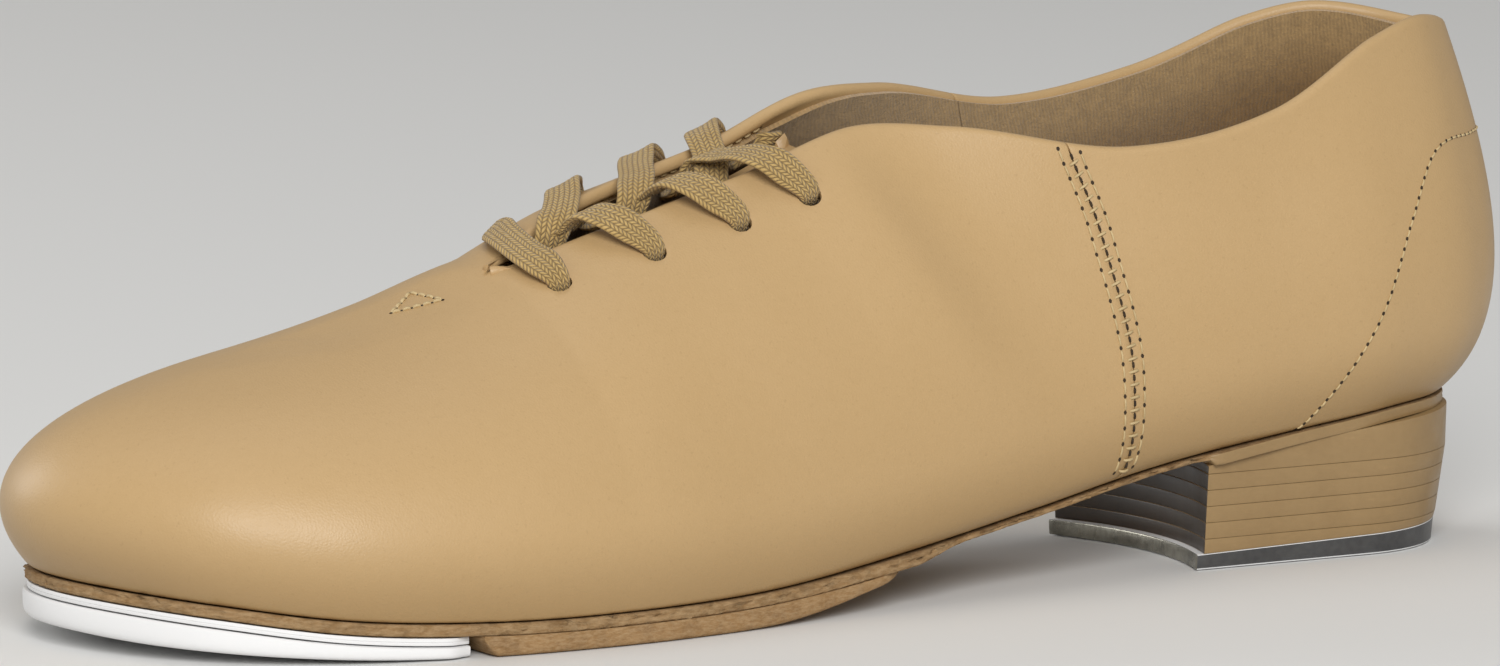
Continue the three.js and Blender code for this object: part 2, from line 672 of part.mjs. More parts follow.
// a place over the gap between the facings; share is 0 at the outer edge and 1 at the inner
function laceAcross(u, share, height) {
  const edges = [OUTER, INNER].map((side) => laceAt(side, u, 0, height));
  const point = edges[0].point.clone().lerp(edges[1].point, share);
  return { point, along: edges[0].along.clone().lerp(edges[1].along, share) };
}

function eyeletPlaces(side, k) {
  const u = EYELET_STATIONS[k];
  const down = [[EYELET_INSET, -0.2], [EYELET_INSET + 0.1, -2], [EYELET_INSET, -3.7]];
  return down.map(([inset, height]) => laceAt(side, u, inset, height));
}

// from under one facing, up through the gap and over the other facing to its next eyelet
function crossing(side, k, isOver) {
  const u = (f) => THREE.MathUtils.lerp(EYELET_STATIONS[k], EYELET_STATIONS[k + 1], f);
  const share = (t) => (side === OUTER ? t : 1 - t);
  const lift = isOver ? [-0.9, 0.6, 1.3] : [-3.6, -2.2, -1.2];
  return [
    laceAt(side, u(0.03), EYELET_INSET - 3, UNDER - 0.2), laceAt(side, u(0.1), 3, UNDER - 0.6),
    laceAcross(u(0.2), share(0.18), UNDER), laceAcross(u(0.41), share(0.38), lift[0]),
    laceAcross(u(0.5), share(0.5), lift[1]), laceAcross(u(0.59), share(0.62), lift[2]),
    laceAcross(u(0.8), share(0.9), OVER + 0.2),
    laceAt(-side, u(0.9), 3, OVER), laceAt(-side, u(0.97), EYELET_INSET - 3, OVER),
  ];
}

// places of one end of the lace, from its first eyelet to its tail
function laceEnd(firstSide) {
  const places = eyeletPlaces(firstSide, 0);
  let side = firstSide;
  for (let k = 0; k < EYELET_STATIONS.length - 1; k += 1) {
    places.push(...crossing(side, k, side === INNER));
    side = -side;
    places.push(...eyeletPlaces(side, k + 1));
  }
  const u = EYELET_STATIONS[EYELET_STATIONS.length - 1];
  const tail = [[0.004, 7.5], [0.014, 5.5], [0.026, 5], [0.04, 6]];
  places.push(...tail.map(([step, inset]) => laceAt(side, u + step, inset, UNDER)));
  return places;
}

const barPlaces = [[OUTER, EYELET_INSET - 3], [OUTER, 3], [INNER, 3], [INNER, EYELET_INSET - 3]];
const bar = barPlaces.map(([side, inset]) => laceAt(side, EYELET_STATIONS[0], inset, OVER));
const laceRoute = [...laceEnd(OUTER).reverse(), ...bar, ...laceEnd(INNER)];

function makeLace() {
  const curve = new THREE.CatmullRomCurve3(laceRoute.map((place) => place.point));
  const steps = Math.round(curve.getLength() / 2.6);
  const flat = [[-1, 0], [-0.8, 1], [0.8, 1], [1, 0], [0.8, -1], [-0.8, -1]];
  const rings = spread(0, 1, steps).map((t) => {
    const at = curve.getUtoTmapping(t);
    const cell = at * (laceRoute.length - 1);
    const k = Math.min(Math.floor(cell), laceRoute.length - 2);
    const tangent = curve.getTangent(at);
    const across = laceRoute[k].along.clone().lerp(laceRoute[k + 1].along, cell - k);
    across.addScaledVector(tangent, -across.dot(tangent)).normalize();
    const face = tangent.clone().cross(across);
    const centre = curve.getPoint(at);
    return flat.map(([a, b]) => centre.clone()
      .addScaledVector(across, a * LACE_WIDTH / 2)
      .addScaledVector(face, b * LACE_THICKNESS / 2));
  });
  const middleRing = rings[Math.floor(rings.length / 2)];
  const outline = new Map(middleRing.map((p, i) => [p, new THREE.Vector2(...flat[i])]));
  add('lace', loft(rings, (p) => outline.get(p)), cotton);
}

makeUpper();
makeLining();
makeStiffeners();
makeSole();
makeShank();
makeToeTap();
makeHeel();
makeTongue();
makeLace();

// the origin is the middle of the ground under the shoe
const box = new THREE.Box3().setFromObject(shoe);
const middle = box.getCenter(new THREE.Vector3());
shoe.position.set(-middle.x, -middle.y, -box.min.z);

export default shoe;
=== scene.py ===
# Tap shoe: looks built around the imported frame. Metres; toe towards -X, inner side towards +Y.
import math

import bmesh
import bpy
import numpy as np
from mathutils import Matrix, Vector
from mathutils.bvhtree import BVHTree


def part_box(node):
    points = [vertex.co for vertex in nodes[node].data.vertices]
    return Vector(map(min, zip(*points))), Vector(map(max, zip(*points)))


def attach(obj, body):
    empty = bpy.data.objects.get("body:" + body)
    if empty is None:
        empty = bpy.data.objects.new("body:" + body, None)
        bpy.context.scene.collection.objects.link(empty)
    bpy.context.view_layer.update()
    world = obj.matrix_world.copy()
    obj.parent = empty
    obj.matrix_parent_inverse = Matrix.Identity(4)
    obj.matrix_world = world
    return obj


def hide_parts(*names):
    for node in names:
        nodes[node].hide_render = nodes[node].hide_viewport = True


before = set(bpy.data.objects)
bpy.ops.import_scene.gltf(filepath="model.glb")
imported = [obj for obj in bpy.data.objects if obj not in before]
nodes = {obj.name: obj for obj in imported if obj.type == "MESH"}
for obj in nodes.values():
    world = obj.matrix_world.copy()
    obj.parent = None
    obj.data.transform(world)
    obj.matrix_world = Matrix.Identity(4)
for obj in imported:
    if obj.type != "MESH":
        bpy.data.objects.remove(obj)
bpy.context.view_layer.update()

bpy.ops.object.select_all(action="DESELECT")

# ---- camera, lights, floor ----
cameraView = {
    "azimuth": -30.5,                    # degrees, 0 looks along +Y
    "elevation": 7.6,
    "distance": 1.9,
    "target": (0.0009, 0.0015, 0.045),
    "lens": 247.15,
    "shift": (-0.0227, 0.006),
}
studio = {
    "worldStrength": 0.34,
    "worldColour": (1.0, 0.985, 0.96, 1),
    "floorColour": (0.78, 0.78, 0.77, 1),
    "floorSize": 14,
    "lights": {                          # place, aim, size, watts
        "keyLight": ((-0.95, -1.95, 1.15), (0, 0, 0.05), 1.2, 46),
        "topLight": ((-0.2, 0.2, 2.0), (0, 0, 0.05), 1.6, 5),
        "rimLight": ((-1.1, 1.7, 0.7), (-0.05, 0, 0.05), 1.2, 12),
    },
}


def setCamera():
    azimuth = math.radians(cameraView["azimuth"])
    elevation = math.radians(cameraView["elevation"])
    back = Vector((math.sin(azimuth) * math.cos(elevation), -math.cos(azimuth) * math.cos(elevation),
                   math.sin(elevation)))
    data = bpy.data.cameras.new("shoeCamera")
    data.lens = cameraView["lens"]
    data.shift_x, data.shift_y = cameraView["shift"]
    camera = bpy.data.objects.new("shoeCamera", data)
    bpy.context.scene.collection.objects.link(camera)
    camera.location = Vector(cameraView["target"]) + back * cameraView["distance"]
    camera.rotation_euler = back.to_track_quat("Z", "Y").to_euler()
    bpy.context.scene.camera = camera


def setLights():
    world = bpy.data.worlds.new("studioWorld")
    world.use_nodes = True
    background = world.node_tree.nodes["Background"]
    background.inputs["Color"].default_value = studio["worldColour"]
    background.inputs["Strength"].default_value = studio["worldStrength"]
    bpy.context.scene.world = world
    for name, (place, aim, size, watts) in studio["lights"].items():
        data = bpy.data.lights.new(name, "AREA")
        data.shape = "DISK"
        data.size = size
        data.energy = watts
        light = bpy.data.objects.new(name, data)
        light.location = place
        light.rotation_euler = (Vector(place) - Vector(aim)).to_track_quat("Z", "Y").to_euler()
        bpy.context.scene.collection.objects.link(light)


setCamera()
setLights()
bpy.context.scene.view_settings.view_transform = "Standard"
print("camera and lights set")


# ---- shader building blocks ----
def addNode(tree, kind, inputs=None, **settings):
    node = tree.nodes.new(kind)
    for key, value in settings.items():
        setattr(node, key, value)
    for key, value in (inputs or {}).items():
        if isinstance(value, bpy.types.NodeSocket):
            tree.links.new(value, node.inputs[key])
        else:
            node.inputs[key].default_value = value
    return node


def calc(tree, operation, *values, clamp=False):
    inputs = dict(enumerate(values))
    return addNode(tree, "ShaderNodeMath", inputs, operation=operation, use_clamp=clamp).outputs[0]


def remap(tree, value, fromMin, fromMax, toMin=0.0, toMax=1.0):
    inputs = {"Value": value, "From Min": fromMin, "From Max": fromMax, "To Min": toMin, "To Max": toMax}
    return addNode(tree, "ShaderNodeMapRange", inputs, interpolation_type="SMOOTHSTEP").outputs["Result"]


def mixColour(tree, factor, first, second, blend="MIX"):
    node = addNode(tree, "ShaderNodeMix", data_type="RGBA", blend_type=blend)
    for socket, value in zip((node.inputs[0], node.inputs[6], node.inputs[7]), (factor, first, second)):
        if isinstance(value, bpy.types.NodeSocket):
            tree.links.new(value, socket)
        else:
            socket.default_value = value
    return node.outputs[2]


def noise(tree, vector, scale, detail=3.0, roughness=0.55):
    inputs = {"Vector": vector, "Scale": scale, "Detail": detail, "Roughness": roughness}
    return addNode(tree, "ShaderNodeTexNoise", inputs).outputs[0]


def stretched(tree, vector, factors):
    inputs = {"Vector": vector, "Scale": factors}
    return addNode(tree, "ShaderNodeMapping", inputs).outputs[0]


def newGroup(name, inputs, outputs):
    group = bpy.data.node_groups.new(name, "ShaderNodeTree")
    kinds = {1: "NodeSocketFloat", 3: "NodeSocketVector", 4: "NodeSocketColor"}
    for label, value in inputs.items():
        size = len(value) if isinstance(value, tuple) else 1
        socket = group.interface.new_socket(name=label, in_out="INPUT", socket_type=kinds[size])
        socket.default_value = value
    for label, size in outputs.items():
        group.interface.new_socket(name=label, in_out="OUTPUT", socket_type=kinds[size])
    source = group.nodes.new("NodeGroupInput").outputs
    sink = group.nodes.new("NodeGroupOutput").inputs
    return group, source, sink


def placed(tree, group, inputs):
    node = addNode(tree, "ShaderNodeGroup", node_tree=group)
    for key, value in inputs.items():
        if isinstance(value, bpy.types.NodeSocket):
            tree.links.new(value, node.inputs[key])
        else:
            node.inputs[key].default_value = value
    return node.outputs


# fine pebbled grain: rounded cells with soft wrinkles between them
def makeGrainGroup():
    group, source, sink = newGroup("leatherGrain", {"Vector": (0.0, 0.0, 0.0), "Cells": 2400.0, "Depth": 1.0},
                                   {"Height": 1, "Pores": 1})
    cells = addNode(group, "ShaderNodeTexVoronoi", {"Vector": source["Vector"], "Scale": source["Cells"],
                                                     "Smoothness": 0.6}, feature="SMOOTH_F1")
    bumps = remap(group, cells.outputs["Distance"], 0.1, 0.75, 1.0, 0.0)
    wrinkles = noise(group, source["Vector"], 700.0, 4.0, 0.6)
    both = calc(group, "ADD", calc(group, "MULTIPLY", bumps, 0.55), calc(group, "MULTIPLY", wrinkles, 0.6))
    group.links.new(calc(group, "MULTIPLY", both, source["Depth"]), sink["Height"])
    pores = remap(group, noise(group, source["Vector"], 1500.0, 2.0, 0.5), 0.62, 0.74)
    group.links.new(pores, sink["Pores"])
    return group


# slow change of tone over a surface, with a finer mottle
def makeDriftGroup():
    given = {"Vector": (0.0, 0.0, 0.0), "Colour": (0.5, 0.4, 0.3, 1.0), "Second": (0.4, 0.3, 0.2, 1.0),
             "Scale": 22.0, "Mottle": 260.0, "Amount": 0.5}
    group, source, sink = newGroup("colourDrift", given, {"Colour": 4, "Mask": 1})
    slow = remap(group, noise(group, source["Vector"], source["Scale"], 2.0, 0.5), 0.35, 0.68)
    fine = remap(group, noise(group, source["Vector"], source["Mottle"], 3.0, 0.6), 0.35, 0.7)
    both = calc(group, "ADD", calc(group, "MULTIPLY", slow, 0.6), calc(group, "MULTIPLY", fine, 0.4))
    factor = calc(group, "MULTIPLY", both, source["Amount"], clamp=True)
    group.links.new(mixColour(group, factor, source["Colour"], source["Second"]), sink["Colour"])
    group.links.new(both, sink["Mask"])
    return group


# brushed nap: short tangled fibres over a ribbed ground; the UV map is in millimetres
def makeNapGroup():
    given = {"Vector": (0.0, 0.0, 0.0), "Ribs": (0.0, 0.0, 0.0), "RibPitch": 0.8, "RibDepth": 0.5}
    group, source, sink = newGroup("brushedNap", given, {"Height": 1, "Shade": 1})
    across = addNode(group, "ShaderNodeSeparateXYZ", {0: source["Ribs"]}).outputs[0]
    waver = calc(group, "MULTIPLY", noise(group, source["Vector"], 240.0, 2.0), 1.6)
    ribs = calc(group, "DIVIDE", calc(group, "ADD", across, waver), source["RibPitch"])
    turn = calc(group, "MULTIPLY", ribs, 2 * math.pi)
    rib = calc(group, "MULTIPLY_ADD", calc(group, "SINE", turn), 0.5, 0.5)
    tangle = noise(group, source["Vector"], 1900.0, 6.0, 0.75)
    clumps = noise(group, source["Vector"], 420.0, 4.0, 0.65)
    ribHeight = calc(group, "MULTIPLY", rib, source["RibDepth"])
    fibres = calc(group, "MULTIPLY", tangle, 0.9)
    height = calc(group, "ADD", calc(group, "ADD", ribHeight, fibres), clumps)
    group.links.new(height, sink["Height"])
    tufts = calc(group, "ADD", calc(group, "MULTIPLY", tangle, 0.55), calc(group, "MULTIPLY", clumps, 0.5))
    shade = calc(group, "ADD", calc(group, "MULTIPLY", rib, 0.13), tufts)
    group.links.new(remap(group, shade, 0.34, 0.84), sink["Shade"])
    return group


# flat braid: chevrons of yarn in columns; UV x counts columns, UV y counts yarns
def makeBraidGroup():
    group, source, sink = newGroup("braidWeave", {"Columns": (0.0, 0.0, 0.0), "Vector": (0.0, 0.0, 0.0)},
                                   {"Height": 1, "Shade": 1})
    parts = addNode(group, "ShaderNodeSeparateXYZ", {0: source["Columns"]}).outputs
    column = calc(group, "FLOOR", parts[0])
    inColumn = calc(group, "FRACT", parts[0])
    odd = calc(group, "MULTIPLY_ADD", calc(group, "MODULO", column, 2.0), 2.0, -1.0)
    slant = calc(group, "MULTIPLY", calc(group, "SUBTRACT", inColumn, 0.5), odd)
    yarn = calc(group, "FRACT", calc(group, "ADD", parts[1], slant))
    yarnBow = calc(group, "SINE", calc(group, "MULTIPLY", yarn, math.pi))
    columnBow = calc(group, "SINE", calc(group, "MULTIPLY", inColumn, math.pi))
    fuzz = noise(group, source["Vector"], 2600.0, 4.0, 0.7)
    body = calc(group, "MULTIPLY", calc(group, "POWER", yarnBow, 0.6), calc(group, "POWER", columnBow, 0.5))
    group.links.new(calc(group, "ADD", body, calc(group, "MULTIPLY", fuzz, 0.4)), sink["Height"])
    shade = calc(group, "ADD", calc(group, "MULTIPLY", body, 0.75), calc(group, "MULTIPLY", fuzz, 0.35))
    group.links.new(remap(group, shade, 0.15, 0.95), sink["Shade"])
    return group


# cut fibres: crumbly edge with dark pits
def makeFibreGroup():
    group, source, sink = newGroup("cutFibres", {"Vector": (0.0, 0.0, 0.0), "Scale": 900.0, "Pit": 0.5},
                                   {"Height": 1, "Pits": 1, "Shade": 1})
    strands = stretched(group, source["Vector"], (0.45, 0.45, 1.6))
    fine = noise(group, strands, source["Scale"], 6.0, 0.7)
    coarse = noise(group, source["Vector"], 260.0, 4.0, 0.65)
    group.links.new(calc(group, "ADD", fine, coarse), sink["Height"])
    low = calc(group, "ADD", calc(group, "MULTIPLY", source["Pit"], 0.22), 0.26)
    pits = addNode(group, "ShaderNodeMapRange", {"Value": coarse, "From Min": low, "From Max": 0.52,
                                                 "To Min": 1.0, "To Max": 0.0}).outputs[0]
    group.links.new(pits, sink["Pits"])
    group.links.new(remap(group, fine, 0.3, 0.72), sink["Shade"])
    return group


# directional scratches and dull patches on metal or worn leather
def makeScuffGroup():
    group, source, sink = newGroup("scuffMarks", {"Vector": (0.0, 0.0, 0.0), "Stretch": (1.0, 1.0, 1.0),
                                                  "Scale": 400.0}, {"Height": 1, "Dull": 1, "Marks": 1})
    product = addNode(group, "ShaderNodeVectorMath", {0: source["Vector"], 1: source["Stretch"]},
                      operation="MULTIPLY")
    lines = noise(group, product.outputs[0], source["Scale"], 5.0, 0.7)
    patches = noise(group, source["Vector"], 55.0, 4.0, 0.6)
    group.links.new(lines, sink["Height"])
    group.links.new(remap(group, patches, 0.35, 0.7), sink["Dull"])
    group.links.new(remap(group, lines, 0.55, 0.75), sink["Marks"])
    return group


grainGroup = makeGrainGroup()
driftGroup = makeDriftGroup()
napGroup = makeNapGroup()
braidGroup = makeBraidGroup()
fibreGroup = makeFibreGroup()
scuffGroup = makeScuffGroup()


def newMaterial(name, **constants):
    material = bpy.data.materials.new(name)
    material.use_nodes = True
    tree = material.node_tree
    shader = tree.nodes["Principled BSDF"]
    for key, value in constants.items():
        shader.inputs[key.replace("_", " ")].default_value = value
    coordinates = addNode(tree, "ShaderNodeTexCoord").outputs
    return material, tree, shader, coordinates


def connectLook(tree, shader, colour, roughness, height, distance, strength=1.0):
    bump = addNode(tree, "ShaderNodeBump", {"Height": height, "Distance": distance, "Strength": strength})
    tree.links.new(bump.outputs[0], shader.inputs["Normal"])
    tree.links.new(colour, shader.inputs["Base Color"])
    tree.links.new(roughness, shader.inputs["Roughness"])


def drifted(tree, vector, colour, second, amount=0.5, scale=22.0, mottle=260.0):
    return placed(tree, driftGroup, {"Vector": vector, "Colour": (*colour, 1.0), "Second": (*second, 1.0),
                                     "Scale": scale, "Mottle": mottle, "Amount": amount})


leatherTones = {
    "upper": ((0.500, 0.332, 0.156), (0.455, 0.296, 0.132)),
    # painted shade: the tongue's tones are the upper's tones made darker, for the shade it lies in under the
    # laces
    "tongue": ((0.43, 0.28, 0.13), (0.37, 0.235, 0.105)),
}


# painted shade: the leather is darkened just above the sole, where shade falls; the UV map runs up from the
# turned margin in millimetres
def smoothLeather(name, tones, cells=2300.0, roughness=(0.40, 0.50), soleShadeAmount=0.0):
    material, tree, shader, coordinates = newMaterial(name, Specular_IOR_Level=0.5, Coat_Weight=0.0)
    place = coordinates["Object"]
    grain = placed(tree, grainGroup, {"Vector": place, "Cells": cells, "Depth": 1.0})
    tone = drifted(tree, place, *tones, amount=0.4, mottle=500.0)
    pores = calc(tree, "MULTIPLY", grain["Pores"], 0.14)
    darker = mixColour(tree, pores, tone["Colour"], (0.25, 0.15, 0.06, 1.0))
    rise = addNode(tree, "ShaderNodeSeparateXYZ", {0: coordinates["UV"]}).outputs[1]
    # painted shade: the colour is darkened over the lowest rows of the wall, just above the sole
    low = calc(tree, "MULTIPLY", remap(tree, rise, 10.0, 27.0, 1.0, 0.0), soleShadeAmount)
    shadedNearSole = mixColour(tree, low, darker, (0.27, 0.165, 0.062, 1.0))
    shine = remap(tree, noise(tree, place, 60.0, 4.0), 0.3, 0.7, *roughness)
    connectLook(tree, shader, shadedNearSole, shine, grain["Height"], 0.00006, 0.55)
    return material


def flannelCloth(name, colour, second, ribs=0.5):
    material, tree, shader, coordinates = newMaterial(name, Sheen_Weight=0.35, Sheen_Roughness=0.6,
                                                      Specular_IOR_Level=0.15)
    nap = placed(tree, napGroup, {"Vector": coordinates["Object"], "Ribs": coordinates["UV"],
                                  "RibDepth": ribs})
    tone = drifted(tree, coordinates["Object"], colour, second, amount=0.7, scale=40.0)
    litNearTop = addNode(tree, "ShaderNodeAttribute", attribute_name="litNearTop").outputs["Fac"]
    # painted light: the lining turns lighter towards its top edge, where light reaches into the shoe
    cloth = mixColour(tree, litNearTop, tone["Colour"], (0.47, 0.30, 0.125, 1.0))
    lit = mixColour(tree, nap["Shade"], mixColour(tree, 0.4, cloth, (0.03, 0.018, 0.008, 1.0)), cloth)
    rough = remap(tree, nap["Shade"], 0.0, 1.0, 1.0, 0.9)
    connectLook(tree, shader, lit, rough, nap["Height"], 0.00035, 0.9)
    return material


def braidedCotton(name, colour, second):
    material, tree, shader, coordinates = newMaterial(name, Sheen_Weight=0.2, Sheen_Roughness=0.5,
                                                      Specular_IOR_Level=0.2)
    weave = placed(tree, braidGroup, {"Columns": coordinates["UV"], "Vector": coordinates["Object"]})
    tone = drifted(tree, coordinates["Object"], colour, second, amount=0.8, scale=300.0, mottle=1600.0)
    lit = mixColour(tree, weave["Shade"], (0.21, 0.13, 0.05, 1.0), tone["Colour"])
    rough = remap(tree, weave["Shade"], 0.0, 1.0, 1.0, 0.85)
    connectLook(tree, shader, lit, rough, weave["Height"], 0.0003, 0.9)
    return material


def fibreEdge(name, colour, second, dark, pit=0.5, scale=900.0, depth=0.0003, speckle=0.75):
    material, tree, shader, coordinates = newMaterial(name, Specular_IOR_Level=0.25)
    fibres = placed(tree, fibreGroup, {"Vector": coordinates["Object"], "Scale": scale, "Pit": pit})
    tone = drifted(tree, coordinates["Object"], colour, second, amount=0.9, scale=120.0, mottle=900.0)
    pits = calc(tree, "MULTIPLY", fibres["Pits"], speckle, clamp=True)
    shaded = mixColour(tree, pits, tone["Colour"], (*dark, 1.0))
    lit = mixColour(tree, calc(tree, "MULTIPLY", fibres["Shade"], 0.35), shaded, (0.62, 0.45, 0.26, 1.0))
    rough = remap(tree, fibres["Shade"], 0.0, 1.0, 0.95, 0.75)
    connectLook(tree, shader, lit, rough, fibres["Height"], depth, 1.0)
    return material


def scuffedFinish(name, colour, second, roughness, metallic=0.0, stretch=(1.0, 1.0, 1.0), scale=400.0,
                  depth=0.00003, coat=0.0):
    material, tree, shader, coordinates = newMaterial(name, Metallic=metallic, Coat_Weight=coat,
                                                      Coat_Roughness=0.12)
    marks = placed(tree, scuffGroup, {"Vector": coordinates["Object"], "Stretch": stretch, "Scale": scale})
    tone = drifted(tree, coordinates["Object"], colour, second, amount=0.8, scale=90.0, mottle=700.0)
    scratched = calc(tree, "MULTIPLY", marks["Marks"], 0.25)
    lit = mixColour(tree, scratched, tone["Colour"], (*(c * 1.35 for c in colour), 1.0))
    low, high = roughness
    rough = calc(tree, "ADD", remap(tree, marks["Dull"], 0.0, 1.0, low, high),
                 calc(tree, "MULTIPLY", marks["Marks"], 0.06))
    connectLook(tree, shader, lit, rough, marks["Height"], depth, 0.7)
    return material


looks = {
    # the upper gets painted shade just above the sole
    "upperLeather": smoothLeather("upperLeather", leatherTones["upper"], soleShadeAmount=0.5),
    "tongueLeather": smoothLeather("tongueLeather", leatherTones["tongue"], cells=1900.0),
    "flannel": flannelCloth("flannelLining", (0.29, 0.160, 0.050), (0.205, 0.110, 0.032), ribs=0.12),
    "sockCloth": flannelCloth("sockCloth", (0.40, 0.27, 0.14), (0.33, 0.21, 0.10), ribs=0.1),
    "laceCotton": braidedCotton("laceCotton", (0.56, 0.385, 0.150), (0.46, 0.31, 0.115)),
    "thread": scuffedFinish("stitchThread", (0.58, 0.44, 0.23), (0.42, 0.31, 0.15), (0.55, 0.75),
                            scale=3000.0),
    # painted shade: near-black finish for the shade in needle holes and in the seam's gap
    "paintedHoleShade": scuffedFinish("paintedHoleShade", (0.045, 0.027, 0.012), (0.02, 0.012, 0.005), (0.8, 0.95)),
    "rawLeather": fibreEdge("rawLeather", (0.30, 0.178, 0.078), (0.235, 0.138, 0.056),
                            (0.10, 0.055, 0.022), pit=0.2, speckle=0.5),
    "padLeather": fibreEdge("padLeather", (0.31, 0.18, 0.076), (0.255, 0.145, 0.058), (0.12, 0.06, 0.024),
                            pit=0.15, scale=1300.0, depth=0.00015, speckle=0.5),
    "liftLeather": scuffedFinish("liftLeather", (0.325, 0.212, 0.094), (0.285, 0.182, 0.078), (0.42, 0.6),
                                 stretch=(0.5, 0.5, 3.0), scale=300.0, depth=0.00006),
    "breastFinish": scuffedFinish("breastFinish", (0.040, 0.022, 0.009), (0.024, 0.013, 0.005), (0.3, 0.42),
                                  stretch=(1.0, 1.0, 0.1), scale=220.0, depth=0.00005, coat=0.06),
    "soundBoard": scuffedFinish("soundBoard", (0.060, 0.057, 0.05), (0.035, 0.033, 0.03), (0.45, 0.65),
                                scale=1200.0),
    "tapMetal": scuffedFinish("tapMetal", (0.47, 0.44, 0.35), (0.28, 0.26, 0.20), (0.22, 0.36), metallic=1.0,
                              stretch=(0.15, 0.3, 3.0), scale=900.0),
    # painted shade: the heel tap's side is the same tap metal made darker, for the shade it stands in
    "shadedHeelTapSide": scuffedFinish("shadedHeelTapSide", (0.17, 0.172, 0.175), (0.11, 0.11, 0.112), (0.42, 0.55),
                                 metallic=1.0, stretch=(0.3, 0.3, 3.0), scale=700.0),
    "groundEdge": scuffedFinish("groundEdge", (0.36, 0.345, 0.29), (0.10, 0.095, 0.08), (0.22, 0.4),
                                metallic=1.0, stretch=(1.0, 3.5, 0.25), scale=420.0, depth=0.00012),
    "darkSteel": scuffedFinish("darkSteel", (0.34, 0.34, 0.34), (0.2, 0.2, 0.2), (0.3, 0.5), metallic=1.0),
    "fibreBoard": fibreEdge("fibreBoard", (0.34, 0.24, 0.13), (0.27, 0.18, 0.09), (0.1, 0.06, 0.03), pit=0.3),
    "stiffCloth": flannelCloth("stiffCloth", (0.50, 0.42, 0.28), (0.42, 0.34, 0.22), ribs=0.3),
    "corkFiller": fibreEdge("corkFiller", (0.38, 0.26, 0.15), (0.28, 0.18, 0.1), (0.08, 0.045, 0.02),
                            pit=0.9),
}
print("materials made:", len(looks))


# ---- the foot form; millimetres, x is the distance along the shoe from its toe ----
shankLow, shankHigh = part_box("shank")
shoeOrigin = np.array([shankLow[0] - 0.162, (shankLow[1] + shankHigh[1]) / 2, 0.0])
outer, inner = -1, 1
throat = 0.37                            # station where the facings part
clearance = 0.3

# station, feather: along, outer half width, inner half width, top: along, slope, cross slope,
# pull and lean of the wall at the feather, pull at the top
stations = np.array([
    [0, 5, -5, 5, 44, 0, 0, 23, 43, 39],
    [0.05, 8, 9, 19, 47, 0, 1.5, 23, 41, 39],
    [0.11, 18, 26, 34, 54, 0, 4, 23, 37, 38],
    [0.19, 38, 39, 42, 64, 0, 8, 22, 32, 36],
    [0.28, 66, 46, 44, 76, 0, 12, 22, 26, 34],
    [0.37, 96, 47, 41, 89, 0, 16, 22, 22, 32],
    [0.46, 126, 43, 35.5, 112, 12, 14, 23, 22, 27],
    [0.54, 153, 38, 30, 133, 22, 10, 24, 24, 25],
    [0.62, 180, 33.5, 27, 153, 34, 8, 25, 26, 24],
    [0.68, 200, 31, 26, 170, 58, 4, 25, 26, 24],
    [0.75, 222, 29, 26.5, 202, 84, 0, 24, 26, 22],
    [0.83, 246, 28, 27, 236, 86, 0, 22, 28, 22],
    [0.91, 271, 25, 25, 267, 80, 0, 22, 40, 26],
    [0.955, 286.5, 18, 18, 285, 74, 0, 22, 49, 27],
    [0.985, 293.5, 8, 8, 295, 68, 0, 22, 54, 28],
    [1, 295, 0, 0, 297.5, 66, 0, 22, 55, 28],
])


def smoothTable(rows):
    rows = np.asarray(rows, float)
    keys, values = rows[:, 0], rows[:, 1:]
    gaps = np.diff(keys)[:, None]
    grades = np.diff(values, axis=0) / gaps
    slopes = np.zeros_like(values)
    slopes[1:-1] = (grades[:-1] * gaps[1:] + grades[1:] * gaps[:-1]) / (gaps[:-1] + gaps[1:])
    slopes[0] = 1.5 * grades[0] - 0.5 * slopes[1]
    slopes[-1] = 1.5 * grades[-1] - 0.5 * slopes[-2]

    def read(key):
        key = np.asarray(key, float)
        i = np.clip(np.searchsorted(keys, key, side="right") - 1, 0, len(keys) - 2)
        gap = gaps[i]
        t = ((key - keys[i]))[..., None] / gap
        return ((1 + 2 * t) * (1 - t) ** 2 * values[i] + t * (1 - t) ** 2 * gap * slopes[i]
                + t * t * (3 - 2 * t) * values[i + 1] + t * t * (t - 1) * gap * slopes[i + 1])

    return read


def oneValue(rows):
    table = smoothTable(rows)
    return lambda key: table(key)[..., 0]


halfOpening = oneValue([[0.37, 0], [0.46, 6], [0.54, 8], [0.62, 9.5], [0.68, 11], [0.75, 21.5], [0.83, 26.3],
                        [0.91, 24], [0.955, 16.5], [0.985, 7], [1, 0], [1.015, -7]])
centreLine = oneValue([[0, 4], [44, 2], [70, -3], [89, -4], [112, -3], [133, -1.5], [160, 0], [230, 0],
                       [310, 0]])
topHeight = oneValue([[44, 49.9], [76, 57.6], [89, 62.4], [105, 68.5], [121, 73.3], [139, 78.4], [163, 86],
                      [182, 85.2], [215, 80.2], [245, 85.6], [270, 98], [282, 100.8], [298, 98]])
innerSideRise = oneValue([[89, 0], [104, 2.6], [125, 3.2], [150, 3], [170, 5], [215, 5], [245, 3.5],
                          [262, 0.5], [275, 0], [310, 0]])
featherHeight = oneValue([[0, 13], [20, 10.4], [40, 7.5], [68, 5.8], [98, 5.6], [128, 6.3], [158, 9.4],
                          [190, 14.5], [216, 19.6], [244, 24], [270, 27], [300, 28.5]])
seamStation = oneValue([[0, 0.705], [0.2, 0.7175], [0.4, 0.734], [0.6, 0.747], [0.8, 0.7545], [1, 0.75]])


def smoothstep(value, low, high):
    t = np.clip((value - low) / (high - low), 0, 1)
    return t * t * (3 - 2 * t)


